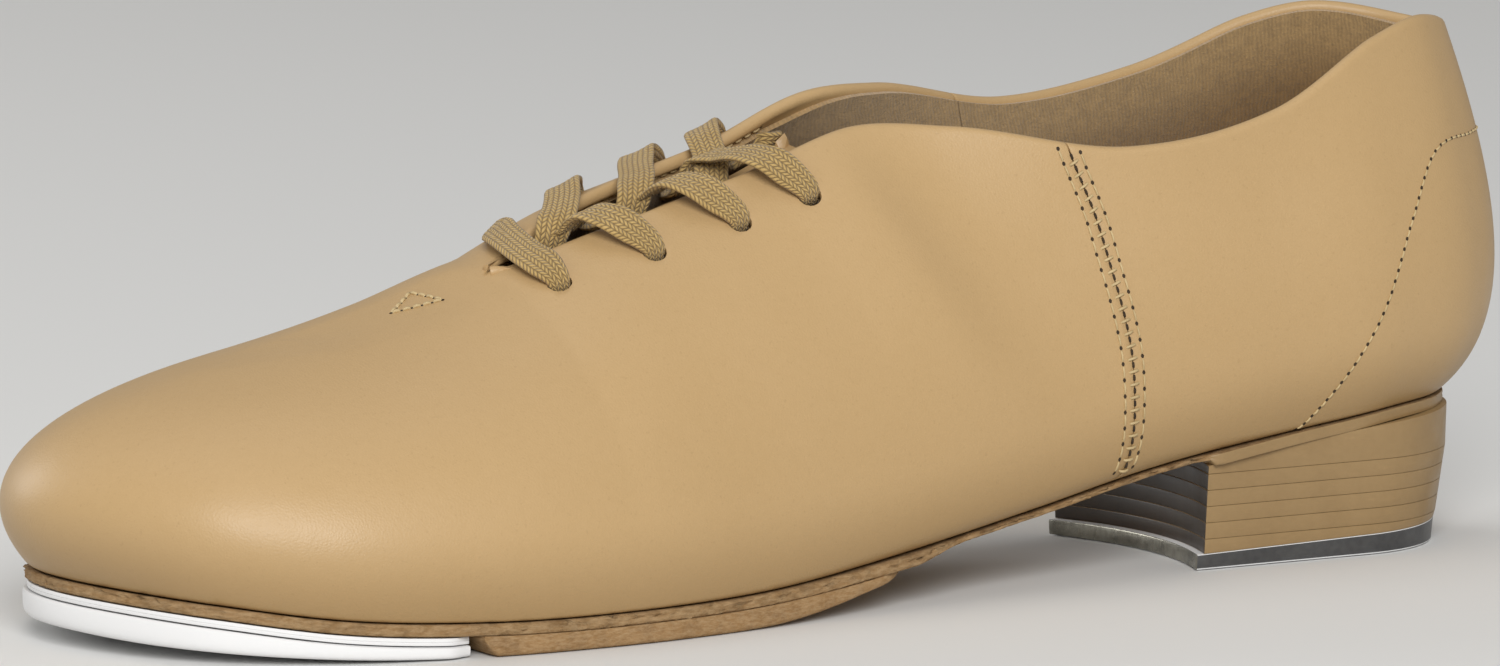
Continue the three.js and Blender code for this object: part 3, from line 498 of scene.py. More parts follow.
def unit(vectors):
    return vectors / np.maximum(np.linalg.norm(vectors, axis=-1, keepdims=True), 1e-9)


def sideRows(side):
    own, other = (2, 3) if side == outer else (3, 2)

    def row(source, key, reach, cross):
        return [key, source[1], side * reach, source[4], source[5], cross, *source[7:]]

    toe, heel = stations[1], stations[-2]
    middle = [row(s, s[0], s[own], -side * s[6]) for s in stations]
    return [row(toe, -toe[0], -toe[other], side * toe[6]), *middle, row(heel, 2 - heel[0], -heel[other], 0)]


sideTable = {outer: smoothTable(sideRows(outer)), inner: smoothTable(sideRows(inner))}


def outwards(side, u):
    step = sideTable[side](u + 1e-3)[..., :2] - sideTable[side](u - 1e-3)[..., :2]
    return unit(np.stack([-side * step[..., 1], side * step[..., 0], np.zeros_like(step[..., 0])], -1))


def featherPoints(side, u):
    row = sideTable[side](u)
    return np.stack([row[..., 0], row[..., 1], featherHeight(row[..., 0])], -1)


def topPoints(side, u):
    x = sideTable[side](u)[..., 2]
    isOpen = u > throat
    half = np.where(isOpen, halfOpening(u), 0)
    rise = np.where(isOpen & (side == inner), innerSideRise(x), 0)
    return np.stack([x, centreLine(x) + side * half, topHeight(x) + rise], -1)


def formPoints(side, u, v):
    u, v = np.broadcast_arrays(np.asarray(u, float), np.asarray(v, float))
    row = sideTable[side](u)
    topX, slope, cross, footPull, lean, topPull = np.moveaxis(row[..., 2:8], -1, 0)
    foot, top, out = featherPoints(side, u), topPoints(side, u), outwards(side, u)
    leanAngle = np.radians(lean)
    p1 = foot + out * (footPull * np.sin(leanAngle))[..., None]
    p1[..., 2] += footPull * np.cos(leanAngle)
    across = unit((foot - top) * [1, 1, 0])
    share = smoothstep(u, 0.5, 0.7)[..., None]
    level = unit(across * (1 - share) + out * share)
    ridge = topHeight(topX + 0.5) - topHeight(topX - 0.5)
    lean2 = np.where(u <= throat, np.abs(level[..., 1]), 1)
    fall = np.radians(slope + cross) * lean2
    p2 = top + level * (topPull * np.cos(fall))[..., None]
    p2[..., 2] += topPull * (ridge * level[..., 0] * np.cos(fall) - np.sin(fall))
    w, v = (1 - v)[..., None], v[..., None]
    points = foot * w ** 3 + p1 * 3 * v * w * w + p2 * 3 * v * v * w + top * v ** 3
    points[..., 2] += clearance * w[..., 0]
    return points


def formNormals(side, u, v):
    e = 2e-3
    along = formPoints(side, u + e, v) - formPoints(side, u - e, v)
    up = formPoints(side, u, np.minimum(v + e, 1)) - formPoints(side, u, np.maximum(v - e, 0))
    return unit(np.cross(along, up) * -side)


def facingPoint(side, u, inset, height):
    edge = formPoints(side, u, 1.0)
    low, high = 0.0, 1.0
    for _ in range(22):
        middle = (low + high) / 2
        if np.linalg.norm(formPoints(side, u, middle) - edge) > inset:
            low = middle
        else:
            high = middle
    return formPoints(side, u, high) + formNormals(side, u, high) * height


# ---- making pieces ----
def toFrame(points):
    return np.asarray(points, float) * 0.001 + shoeOrigin


def onlySelect(piece):
    bpy.ops.object.select_all(action="DESELECT")
    piece.select_set(True)
    bpy.context.view_layer.objects.active = piece


def finishPiece(piece, look, body="shoe", replaces=(), angle=40):
    onlySelect(piece)
    bpy.ops.object.shade_smooth_by_angle(angle=math.radians(angle))
    if look and not piece.data.materials:
        piece.data.materials.append(looks[look])
    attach(piece, body)
    if replaces:
        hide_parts(*replaces)
    print("made", piece.name, len(piece.data.polygons))
    return piece


def newPiece(name, points, faces, uv=None, weld=2e-6):
    mesh = bpy.data.meshes.new(name)
    mesh.from_pydata(toFrame(points).tolist(), [], faces)
    if uv is not None:
        layer = mesh.uv_layers.new(name="flat")
        corners = np.empty(len(mesh.loops), dtype=np.int32)
        mesh.loops.foreach_get("vertex_index", corners)
        layer.data.foreach_set("uv", np.asarray(uv, float)[corners].ravel())
    piece = bpy.data.objects.new(name, mesh)
    bpy.context.scene.collection.objects.link(piece)
    if weld:
        sheet = bmesh.new()
        sheet.from_mesh(mesh)
        bmesh.ops.remove_doubles(sheet, verts=sheet.verts, dist=weld)
        bmesh.ops.dissolve_degenerate(sheet, edges=sheet.edges, dist=weld)
        sheet.to_mesh(mesh)
        sheet.free()
    return piece


def applyModifier(piece, kind, **settings):
    onlySelect(piece)
    modifier = piece.modifiers.new(kind.lower(), kind)
    for key, value in settings.items():
        setattr(modifier, key, value)
    bpy.ops.object.modifier_apply(modifier=modifier.name)


def gridFaces(columns, rows, flip=False):
    faces = []
    for i in range(columns - 1):
        for j in range(rows - 1):
            a = i * rows + j
            quad = (a, a + rows, a + rows + 1, a + 1)
            faces.append(quad[::-1] if flip else quad)
    return faces


# ---- upper ----
upperShape = {
    "leather": 1.2,
    "foldRadius": 1.25,
    "margin": 9.0,
    "facingBand": 3.6,                   # leather turned in along the facings
    "collarBand": 0.9,
    "seamGap": 0.13,                     # half the butt gap at the side seams
    "ridgeRound": 9.0,
    "eyeletRadius": 2.35,
    "eyeletInset": 10.5,
    "eyeletStations": (0.398, 0.463, 0.528, 0.588),
}
rollTable = oneValue([[0, 1.4], [120, 1.4], [180, 4.2], [225, 3.6], [250, 1.6], [300, 1.3]])


def bandDepth(u):
    wide, narrow = upperShape["facingBand"], upperShape["collarBand"]
    return wide + (narrow - wide) * smoothstep(u, 0.63, 0.70)


def foldRadiusAt(u):
    return upperShape["foldRadius"] * smoothstep(u, throat, throat + 0.03)


# wall of one side: arrays of stations and height shares, columns by rows
def wallGrid(side, uOf, columns, rows):
    share = rows[None, :]
    u = uOf(columns[:, None], share)
    x = sideTable[side](u)[..., 0]
    pull = sideTable[side](u)[..., 5:8:2]
    roll = rollTable(x) / (3 * pull[..., 0])
    stop = 1 - foldRadiusAt(u) / (3 * pull[..., 1])
    v = roll + (stop - roll) * share
    u = uOf(columns[:, None], v)
    return u, v, formPoints(side, u, v), formNormals(side, u, v)


def vampStation(column, v):
    return column * (seamStation(np.maximum(v, 0)) - upperShape["seamGap"] / 320)


def quarterStation(column, v):
    return 1 - column * (1 - seamStation(np.maximum(v, 0)) - upperShape["seamGap"] / 320)


# rounds the ridge of the toe: both walls bend into one curve there
def roundRidge(walls, u):
    reach = upperShape["ridgeRound"] * (1 - 0.7 * smoothstep(u, 0.32, throat))
    for i in np.nonzero(u <= throat + 1e-6)[0]:
        ridge = walls[outer][i, -1].copy()
        starts = {}
        for side, wall in walls.items():
            away = np.linalg.norm(wall[i] - ridge, axis=-1)
            starts[side] = (int(np.nonzero(away < reach[i])[0][0]) - 1, away)
        ends = {side: walls[side][i, start].copy() for side, (start, _) in starts.items()}
        for side, (start, away) in starts.items():
            for j in range(start, walls[side].shape[1]):
                t = 0.5 * (1 - away[j] / away[start])
                walls[side][i, j] = ends[side] * (1 - t) ** 2 + ridge * 2 * t * (1 - t) + ends[-side] * t * t


def wallsOf(uOf, columns, rows):
    grids = {side: wallGrid(side, uOf, columns, rows) for side in (outer, inner)}
    if uOf is vampStation:
        roundRidge({side: grid[2] for side, grid in grids.items()}, grids[outer][0][:, -1])
    return grids


def upperSide(side, uOf, columns, grid):
    u, v, wall, normals = grid
    closed = (u[:, -1] <= throat + 1e-6)[:, None]
    edgeU = u[:, -1:]
    # margin turned in under the foot, and the roll above it
    footU = uOf(columns[:, None], 0.0)
    foot, out = featherPoints(side, footU), outwards(side, footU)
    rollAt = rollTable(foot[..., 0])
    reach = np.linspace(0, 1, 4)[None, :]
    inwards = -(upperShape["margin"] + (rollAt - upperShape["margin"]) * reach)
    margin = foot + out * inwards[..., None]
    margin[..., 2] = featherHeight(margin[..., 0]) + clearance
    corner = foot + np.array([0, 0, clearance])
    t = np.linspace(0, 1, 7)[None, 1:-1, None]
    roll = margin[:, -1:] * (1 - t) ** 2 + corner * 2 * t * (1 - t) + wall[:, :1] * t * t
    # fold over the top edge, then the band inside
    radius = foldRadiusAt(edgeU)
    up = unit(wall[:, -1] - wall[:, -2])
    normal = normals[:, -1]
    centre = wall[:, -1] - normal * radius
    angles = np.radians([30, 60, 90, 120, 150, 180])[None, :, None]
    turned = normal[:, None] * np.cos(angles) + up[:, None] * np.sin(angles)
    fold = centre[:, None] + radius[..., None] * turned
    depth = np.linspace(0.12, 1, 7)[None, :] * bandDepth(edgeU) * smoothstep(edgeU, throat, throat + 0.03)
    pullTop = sideTable[side](edgeU)[..., 7]
    bandV = v[:, -1:] - depth / (3 * pullTop)
    bandU = uOf(columns[:, None], bandV)
    band = formPoints(side, bandU, bandV) - formNormals(side, bandU, bandV) * 2 * radius[..., None]
    top = np.concatenate([fold, band], axis=1)
    top = np.where(closed[..., None], wall[:, -1:], top)
    return np.concatenate([margin, roll, wall, top], axis=1)


def bothSides(make):
    return np.concatenate([make(outer)[:0:-1], make(inner)])


def sheetUv(points):
    along = np.linalg.norm(np.diff(points, axis=0), axis=-1)
    middle = np.concatenate([[0], np.cumsum(along[:, points.shape[1] * 2 // 3])])
    steps = np.linalg.norm(np.diff(points, axis=1), axis=-1)
    rise = np.concatenate([np.zeros((len(points), 1)), np.cumsum(steps, 1)], 1)
    return np.stack([np.repeat(middle[:, None], points.shape[1], 1), rise], -1).reshape(-1, 2)


def openEyelets(piece, radius, depth=0.0):
    sheet = bmesh.new()
    sheet.from_mesh(piece.data)
    for side in (outer, inner):
        for station in upperShape["eyeletStations"]:
            centre = Vector(toFrame(facingPoint(side, station, upperShape["eyeletInset"], -depth)))
            lifted = Vector(toFrame(facingPoint(side, station, upperShape["eyeletInset"], 1 - depth)))
            axis = (lifted - centre).normalized()

            def offset(place):
                away = place - centre
                return away - axis * away.dot(axis)

            near = [f for f in sheet.faces
                    if (f.calc_center_median() - centre).length < radius * 0.001 + 0.004]
            gone = [f for f in near if offset(f.calc_center_median()).length < radius * 0.001
                    and abs((f.calc_center_median() - centre).dot(axis)) < 0.002]
            bmesh.ops.delete(sheet, geom=gone, context="FACES")
            rim = {vert for e in sheet.edges if e.is_boundary for vert in e.verts
                   if (vert.co - centre).length < radius * 0.001 + 0.0012}
            for vert in rim:
                away = offset(vert.co)
                vert.co += away.normalized() * (radius * 0.001) - away
    sheet.to_mesh(piece.data)
    sheet.free()


wallRows = np.linspace(0, 1, 52)
wallRows = 0.55 * wallRows + 0.45 * (1 - (1 - wallRows) ** 2)
throatColumn = throat / (float(seamStation(1.0)) - upperShape["seamGap"] / 320)
vampColumns = np.concatenate([np.linspace(0, throatColumn, 64)[:-1], np.linspace(throatColumn, 1, 100)])
quarterColumns = np.linspace(0, 1, 84)


def makeUpper():
    leather = upperShape["leather"] * 0.001
    outsides = []
    for name, uOf, columns, flip in (("vampLeather", vampStation, vampColumns, True),
                                     ("quarterLeather", quarterStation, quarterColumns, False)):
        grids = wallsOf(uOf, columns, wallRows)
        points = bothSides(lambda side: upperSide(side, uOf, columns, grids[side]))
        faces = gridFaces(points.shape[0], points.shape[1], flip)
        piece = newPiece(name, points.reshape(-1, 3), faces, sheetUv(points))
        if name == "vampLeather":
            openEyelets(piece, upperShape["eyeletRadius"])
        outsides.append((toFrame(points.reshape(-1, 3)), faces))
        applyModifier(piece, "SOLIDIFY", thickness=leather, offset=-1, use_even_offset=True)
        applyModifier(piece, "BEVEL", width=0.00022, segments=2, limit_method="ANGLE",
                      angle_limit=math.radians(55))
        replaced = ("vamp", "facing_stay") if name == "vampLeather" else ("quarter", "topline_tape")
        finishPiece(piece, "upperLeather", replaces=replaced, angle=60)
    return outsides


def liningGrid(side, uOf, columns):
    rows = np.linspace(0, 1, 44)[None, :]
    footV = 0.02
    edgeU = uOf(columns[:, None], 1.0)
    pull = sideTable[side](edgeU)[..., 7]
    isOpen = smoothstep(edgeU, throat, throat + 0.02)
    inset = (bandDepth(edgeU) + 0.4) * isOpen
    topV = 1 - inset / (3 * pull)
    v = footV + (topV - footV) * (0.6 * rows + 0.4 * (1 - (1 - rows) ** 2))
    u = uOf(columns[:, None], v)
    fromEdge = (1 - v) * 3 * pull
    near = (1 - smoothstep(fromEdge, inset + 1.0, inset + 9.0)) * isOpen
    depth = 2.65 - near * (0.1 + 0.2 * smoothstep(u, 0.63, 0.7))
    return u, v, formPoints(side, u, v), formNormals(side, u, v), depth


# painted light: the attribute is 1 at the top edge of a lining and falls to 0 further down; the lining is
# painted lighter there, as if lit through the opening
def paintTopLight(piece):
    spots = np.array([vert.co for vert in piece.data.vertices])
    edge = toFrame(np.concatenate([topPoints(side, np.linspace(throat, 1, 240)) for side in (outer, inner)]))
    away = np.array([np.min(np.linalg.norm(edge - spot, axis=1)) for spot in spots])
    layer = piece.data.attributes.new("litNearTop", "FLOAT", "POINT")
    layer.data.foreach_set("value", 1 - smoothstep(away, 0.003, 0.020))


def makeLining():
    for name, node, uOf, columns, flip in (
            ("vampLiningCloth", "vamp_lining", vampStation, vampColumns[::2], True),
            ("quarterLiningCloth", "quarter_lining", quarterStation, quarterColumns[::2], False)):
        columns = np.append(columns[columns < 0.999], 1.0)
        grids = {side: liningGrid(side, uOf, columns) for side in (outer, inner)}
        sheets = {side: grid[2] - grid[3] * grid[4][..., None] for side, grid in grids.items()}
        if uOf is vampStation:
            closed = uOf(columns, 1.0) <= throat + 1e-6
            middle = (sheets[outer][closed, -1] + sheets[inner][closed, -1]) / 2
            for sheet in sheets.values():
                sheet[closed, -1] = middle
            roundRidge(sheets, uOf(columns, 1.0))
        points = bothSides(sheets.get)
        faces = gridFaces(points.shape[0], points.shape[1], flip)
        piece = newPiece(name, points.reshape(-1, 3), faces, sheetUv(points))
        if node == "vamp_lining":
            openEyelets(piece, upperShape["eyeletRadius"] + 0.1, 1.6)
        applyModifier(piece, "SOLIDIFY", thickness=0.001, offset=-1)
        paintTopLight(piece)
        finishPiece(piece, "flannel", replaces=(node,), angle=60)


outsides = makeUpper()
makeLining()
print("upper made")


# ---- stitching ----
class Surface:
    def __init__(self, parts):
        points, faces = [], []
        for part, partFaces in parts:
            start = len(points)
            points += [Vector(p) for p in part]
            faces += [tuple(i + start for i in face) for face in partFaces]
        self.tree = BVHTree.FromPolygons(points, faces)

    def at(self, place):
        point, normal, _, _ = self.tree.find_nearest(Vector(place))
        return np.array(point), np.array(normal)


upperSurface = Surface(outsides)


class SmallParts:
    def __init__(self):
        self.points, self.faces = [], []

    def ringBody(self, centres, sideways, upwards, widths, heights, sides=6):
        start = len(self.points)
        for centre, a, b, width, height in zip(centres, sideways, upwards, widths, heights):
            for k in range(sides):
                angle = 2 * math.pi * k / sides
                self.points.append(centre + a * width * math.cos(angle) + b * height * math.sin(angle))
        rings = len(centres)
        for i in range(rings - 1):
            for k in range(sides):
                a, b = start + i * sides + k, start + i * sides + (k + 1) % sides
                self.faces.append((a, b, b + sides, a + sides))
        self.faces.append(tuple(start + k for k in reversed(range(sides))))
        self.faces.append(tuple(start + (rings - 1) * sides + k for k in range(sides)))

    def thread(self, begin, end, normalA, normalB, radius, rise, sink):
        shares = (0.0, 0.12, 0.5, 0.88, 1.0)
        lifts = (-sink, rise * 0.45, rise, rise * 0.45, -sink)
        along = unit(end - begin)
        centres, sideways, upwards = [], [], []
        for share, lift in zip(shares, lifts):
            normal = unit(normalA * (1 - share) + normalB * share)
            side = unit(np.cross(along, normal))
            centres.append(begin * (1 - share) + end * share + normal * lift)
            sideways.append(side)
            upwards.append(normal)
        sizes = [radius * s for s in (0.7, 1, 1.05, 1, 0.7)]
        self.ringBody(centres, sideways, upwards, sizes, sizes)

    # painted shade: a small dark cone whose cap sits on the leather, standing for the shade inside a needle
    # hole
    def hole(self, place, normal, radius, along):
        along = unit(along - normal * np.dot(along, normal))
        side = np.cross(normal, along)
        centres = [place - normal * radius, place - normal * radius * 0.3, place + normal * 0.00003]
        sizes = [radius * 0.4, radius * 0.9, radius]
        self.ringBody(centres, [side] * 3, [along] * 3, sizes, [s * 1.25 for s in sizes])

    def piece(self, name):
        mesh = bpy.data.meshes.new(name)
        mesh.from_pydata([tuple(p) for p in self.points], [], self.faces)
        made = bpy.data.objects.new(name, mesh)
        bpy.context.scene.collection.objects.link(made)
        sheet = bmesh.new()
        sheet.from_mesh(mesh)
        bmesh.ops.recalc_face_normals(sheet, faces=sheet.faces)
        sheet.to_mesh(mesh)
        sheet.free()
        return made


def evenPoints(points, pitch):
    points = np.asarray(points, float)
    lengths = np.concatenate([[0], np.cumsum(np.linalg.norm(np.diff(points, axis=0), axis=1))])
    curve = smoothTable(np.column_stack([lengths, points]))
    fine = curve(np.linspace(0, lengths[-1], 400))
    arcs = np.concatenate([[0], np.cumsum(np.linalg.norm(np.diff(fine, axis=0), axis=1))])
    count = max(int(round(arcs[-1] / pitch)), 1)
    wanted = np.linspace(0, arcs[-1], count + 1)
    return np.stack([np.interp(wanted, arcs, fine[:, k]) for k in range(3)], 1)


stitching = {
    "thread": 0.00021, "hole": 0.00036,
    "seamRows": 2.2, "seamPitch": 3.0, "tickPitch": 2.4, "tickHalf": 1.15,
    "counterPitch": 2.1, "bandPitch": 2.2, "bandFromEdge": 2.7, "tackPitch": 1.7,
}
counterLine = [(306.4, 0, 78.6), (304.7, 6, 78.1), (294, 17, 77.4), (281, 24, 75.6), (272.8, 28, 63.3),
               (263.8, 30, 45.2), (248.9, 28, 24.8)]
tackCorners = [(79.6, -4.9, 58.3), (71.1, -1.3, 56.1), (77.3, 3.1, 58.8)]


def stitchRow(threads, holeShades, places, gap=0.12, size=stitching["thread"]):
    found = [upperSurface.at(p) for p in places]
    for i, (point, normal) in enumerate(found):
        neighbour = found[i + 1][0] if i + 1 < len(found) else found[i - 1][0]
        holeShades.hole(point, normal, stitching["hole"], neighbour - point)
        if i + 1 < len(found):
            nextPoint, nextNormal = found[i + 1]
            start = point * (1 - gap) + nextPoint * gap
            end = point * gap + nextPoint * (1 - gap)
            threads.thread(start, end, normal, nextNormal, size, size * 0.7, size * 1.3)


def seamOffsets(side, v, millimetres):
    u = seamStation(v)
    step = 1e-3
    moved = formPoints(side, u + step, v) - formPoints(side, u - step, v)
    speed = np.linalg.norm(moved, axis=-1) / (2 * step)
    return formPoints(side, u + millimetres / speed, v)


def makeStitches():
    threads, holeShades = SmallParts(), SmallParts()
    shares = np.linspace(0.035, 0.975, 40)
    for side in (outer, inner):
        for offset in (-stitching["seamRows"], stitching["seamRows"]):
            row = evenPoints(seamOffsets(side, shares, offset), stitching["seamPitch"])
            stitchRow(threads, holeShades, toFrame(row))
        middle = toFrame(evenPoints(seamOffsets(side, shares, 0.0), stitching["tickPitch"]))
        for place, following in zip(middle, middle[1:]):
            across = unit(np.cross(following - place, upperSurface.at(place)[1]))
            gap = (following - place) * 0.25
            lean = (following - place) * 0.1
            begin, beginNormal = upperSurface.at(place - across * stitching["tickHalf"] * 0.001 - lean)
            end, endNormal = upperSurface.at(place + across * stitching["tickHalf"] * 0.001 + lean)
            size = stitching["thread"] * 1.25
            threads.thread(begin, end, beginNormal, endNormal, size, size * 1.4, size)
            # painted shade: a dark strand along the middle of the butt seam, for the shade in its gap
            holeShades.thread(place + gap, following - gap, beginNormal, endNormal, size, size * 0.3, size)
        curve = [(x, side * y, z) for x, y, z in counterLine]
        stitchRow(threads, holeShades, toFrame(evenPoints(curve, stitching["counterPitch"])))
        u = np.linspace(throat + 0.1, 0.62, 40)
        pull = sideTable[side](u)[..., 7]
        v = 1 - stitching["bandFromEdge"] / (3 * pull)
        inside = formPoints(side, u, v) - formNormals(side, u, v) * 2 * upperShape["foldRadius"]
        stitchRow(threads, holeShades, toFrame(evenPoints(inside, stitching["bandPitch"])))
    for a, b in zip(tackCorners, tackCorners[1:] + tackCorners[:1]):
        steps = max(int(np.linalg.norm(np.subtract(a, b)) / stitching["tackPitch"]), 1)
        places = toFrame(np.linspace(a, b, steps + 1))
        stitchRow(threads, holeShades, places, gap=0.06, size=0.0003)
    finishPiece(threads.piece("seamThreads"), "thread", angle=70)
    # the dark hole discs and seam-gap strand are painted shade
    finishPiece(holeShades.piece("paintedHoleShades"), "paintedHoleShade", angle=70)


makeStitches()
print("stitches made")


# ---- sole ----
soleShape = {
    "midsole": 2.1, "midsoleOut": 0.6, "ragged": 0.3, "waistIn": 2.0, "waistThin": 1.1,
    "boardTop": 2.4, "boardThickness": 1.3, "boardOut": 0.3,
    "tapTop": 4.0, "tapOut": 1.1, "tapRear": 63.5,
    "padFront": 65.3, "padRear": 166.0, "padOut": 0.7, "padRound": 151.0,
    "toeScrews": ((18, 4), (50, -27), (50, 25)),
    "heelScrews": ((247, -11), (247, 11), (279, 0)),
}
toeTapFloor = oneValue([[0, 4.6], [10, 3], [20, 2.1], [38, 0.8], [56, 0.1], [80, 0]])
padFloor = oneValue([[60, 0], [118, 0], [128, 0.4], [140, 2.1], [152, 4.8], [166, 8]])


def tapGround(x):
    return np.maximum(toeTapFloor(x), 0)


# stations spread evenly along the outline between two distances along the shoe
def outlineStations(start, stop, pitch):
    u = np.linspace(0, 1, 3000)
    foot = featherPoints(inner, u)
    arcs = np.concatenate([[0], np.cumsum(np.linalg.norm(np.diff(foot[:, :2], axis=0), axis=1))])
    first = np.interp(start, foot[:, 0], arcs) if start > foot[0, 0] else 0.0
    last = np.interp(stop, foot[:, 0], arcs)
    count = int((last - first) / pitch)
    return np.interp(np.linspace(first, last, count), arcs, u)


# plate that follows the outline of the foot: profile rows are (outset, share of height)
def platePiece(name, u, profile, bottom, top, squeeze=None, roughen=None):
    sides = []
    feet = {side: featherPoints(side, u) for side in (outer, inner)}
    middle = (feet[outer] + feet[inner]) / 2
    for side in (outer, inner):
        out = outwards(side, u)
        rows = []
        for k, (outset, share) in enumerate(profile):
            edge = feet[side] + out * outset
            if roughen is not None:
                edge = edge + out * roughen(side, edge, share)[:, None]
            if squeeze is not None:
                reach = squeeze((feet[outer][:, 0] + feet[inner][:, 0]) / 2)
                edge[:, 1] = middle[:, 1] + (edge[:, 1] - middle[:, 1]) * reach
            low, high = bottom(edge[:, 0]), top(edge[:, 0])
            edge[:, 2] = low + (high - low) * share
            rows.append(edge)
        sides.append(np.stack(rows, 1))
    outerRows, innerRows = sides
    count, rows = outerRows.shape[:2]
    points = np.concatenate([outerRows.reshape(-1, 3), innerRows.reshape(-1, 3)])
    shift = count * rows
    faces = gridFaces(count, rows)
    faces += [tuple(i + shift for i in reversed(face)) for face in gridFaces(count, rows)]
    for i in range(count - 1):
        for k, turn in ((0, 1), (rows - 1, -1)):
            a, b = i * rows + k, (i + 1) * rows + k
            faces.append((a, a + shift, b + shift, b)[::turn])
    for i, turn in ((0, 1), (count - 1, -1)):
        for k in range(rows - 1):
            a, b = i * rows + k, i * rows + k + 1
            faces.append((a, b, b + shift, a + shift)[::turn])
    piece = newPiece(name, points, faces)
    sheet = bmesh.new()
    sheet.from_mesh(piece.data)
    bmesh.ops.recalc_face_normals(sheet, faces=sheet.faces)
    sheet.to_mesh(piece.data)
    sheet.free()
    return piece


def above(height):
    return lambda x: featherHeight(x) + height


# crumbly edge: slow waves and sharp nicks, one value for each place along the outline;
# it is dressed smooth at the heel
def raggedEdge(amount, seed):
    source = np.random.default_rng(seed)

    def push(side, edge, share):
        count = len(edge)
        fine = source.normal(0, 1, count)
        slow = np.convolve(source.normal(0, 1, count + 8), np.ones(9) / 3, "valid")
        rough = 1 - smoothstep(edge[:, 0], 226, 232)
        waist = smoothstep(edge[:, 0], 158, 176) * rough
        square = 0.28 * (1 - rough) * (share in (0.0, 1.0))
        return (amount * (0.7 * fine - 0.5 * np.abs(slow)) * (0.5 + share) * rough
                - soleShape["waistIn"] * waist + square)

    return push


# screw holes; a head radius adds the countersink, only for a piece that the heads sit in
def drillHoles(piece, places, ground, top, shank, head=None):
    for x, y in places:
        bpy.ops.object.select_all(action="DESELECT")
        low = float(ground(np.array(float(x)))) - 1.0
        cutters = []
        if head:
            depth = 1.6 + head - shank
            bpy.ops.mesh.primitive_cone_add(vertices=32, radius1=head * 0.001, radius2=shank * 0.001,
                                            depth=depth * 0.001, location=toFrame((x, y, low + depth / 2)))
            cutters.append(bpy.context.active_object)
        bpy.ops.mesh.primitive_cylinder_add(vertices=32, radius=shank * 0.001, depth=(top - low) * 0.001,
                                            location=toFrame((x, y, (top + low) / 2)))
        cutters.append(bpy.context.active_object)
        for cutter in cutters:
            applyModifier(piece, "BOOLEAN", operation="DIFFERENCE", object=cutter, solver="MANIFOLD")
            bpy.data.objects.remove(cutter, do_unlink=True)


def markFaces(piece, look, test):
    piece.data.materials.append(looks[look])
    index = len(piece.data.materials) - 1
    for face in piece.data.polygons:
        if test(face.center, face.normal):
            face.material_index = index


def makeSole():
    s = soleShape
    full = outlineStations(0, 295, 0.9)
    edge = s["midsoleOut"]
    profile = ((edge - 1.4, 0.0), (edge - 0.35, 0.0), (edge, 0.16), (edge + 0.05, 0.38), (edge - 0.05, 0.6),
               (edge + 0.08, 0.82), (edge - 0.3, 1.0), (edge - 1.6, 1.0))

    def midsoleBottom(x):
        thin = smoothstep(x, 160, 172) * (1 - smoothstep(x, 229.5, 230.5))
        return featherHeight(x) - s["midsole"] + s["waistThin"] * thin

    midsole = platePiece("midsoleLeather", full, profile, midsoleBottom, above(0),
                         roughen=raggedEdge(s["ragged"], 5))
    finishPiece(midsole, "rawLeather", replaces=("midsole",), angle=75)
    heelStart = toFrame((heelShape["breast"], 0, 0))[0]
    markFaces(midsole, "liftLeather", lambda c, n: c.x > heelStart and abs(n.z) < 0.9)

    pad = outlineStations(s["padFront"], s["padRear"], 0.9)
    reach = s["padRear"] + 0.5 - s["padRound"]

    def rounded(x):
        return np.sqrt(np.maximum(1 - (np.maximum(x - s["padRound"], 0) / reach) ** 2, 0))

    def padBottom(x):
        return np.maximum(padFloor(x), 0) + np.maximum(s["padFront"] + 2.2 - x, 0) * 1.3

    edge = s["padOut"]
    profile = ((edge - 2.5, 0.0), (edge - 0.6, 0.0), (edge - 0.18, 0.07), (edge, 0.2), (edge, 0.6),
               (edge - 0.05, 0.9), (edge - 0.1, 1.0), (edge - 2.5, 1.0))
    piece = platePiece("solePadLeather", pad, profile, padBottom, above(-s["midsole"] - 0.02), rounded,
                       raggedEdge(0.06, 9))
    finishPiece(piece, "padLeather", replaces=("sole_pad",), angle=50)

    front = outlineStations(0, s["tapRear"], 0.9)

    def corner(x):
        return 1 - 0.05 * smoothstep(x, s["tapRear"] - 5, s["tapRear"] + 1)

    edge = s["boardOut"]
    profile = ((edge - 0.5, 0.0), (edge - 0.1, 0.0), (edge, 0.12), (edge, 0.46), (edge - 0.12, 0.5),
               (edge, 0.54), (edge, 0.88), (edge - 0.1, 1.0), (edge - 0.5, 1.0))
    piece = platePiece("toeSoundBoard", front, profile, above(-s["boardTop"] - s["boardThickness"]),
                       above(-s["boardTop"]), corner)
    drillHoles(piece, s["toeScrews"], tapGround, 16.0, 1.8)
    finishPiece(piece, "soundBoard", replaces=("toe_sound_board",), angle=35)

    edge = s["tapOut"]
    profile = ((edge - 2.2, 0.0), (edge - 0.9, 0.03), (edge - 0.35, 0.12), (edge - 0.08, 0.27), (edge, 0.45),
               (edge, 0.86), (edge - 0.12, 0.96), (edge - 0.3, 1.0), (edge - 2.2, 1.0))
    piece = platePiece("toeTapPlate", front, profile, tapGround, above(-s["tapTop"]), corner)
    drillHoles(piece, s["toeScrews"], tapGround, 16.0, 1.7, 3.3)
    finishPiece(piece, "tapMetal", replaces=("toe_tap",), angle=35)


# ---- heel ----
heelShape = {
    "breast": 229.5, "hollow": 5.0, "radius": (26, 28), "rear": (292.8, 296.5), "top": 24.0,
    "lifts": (5.8, 8.9, 12.0, 15.1, 18.2), "gap": 0.05, "bevel": 0.11,
    "tapLip": 1.6, "tapFront": 3.0, "tapRise": 1.5, "tapChamfer": 0.3,
}


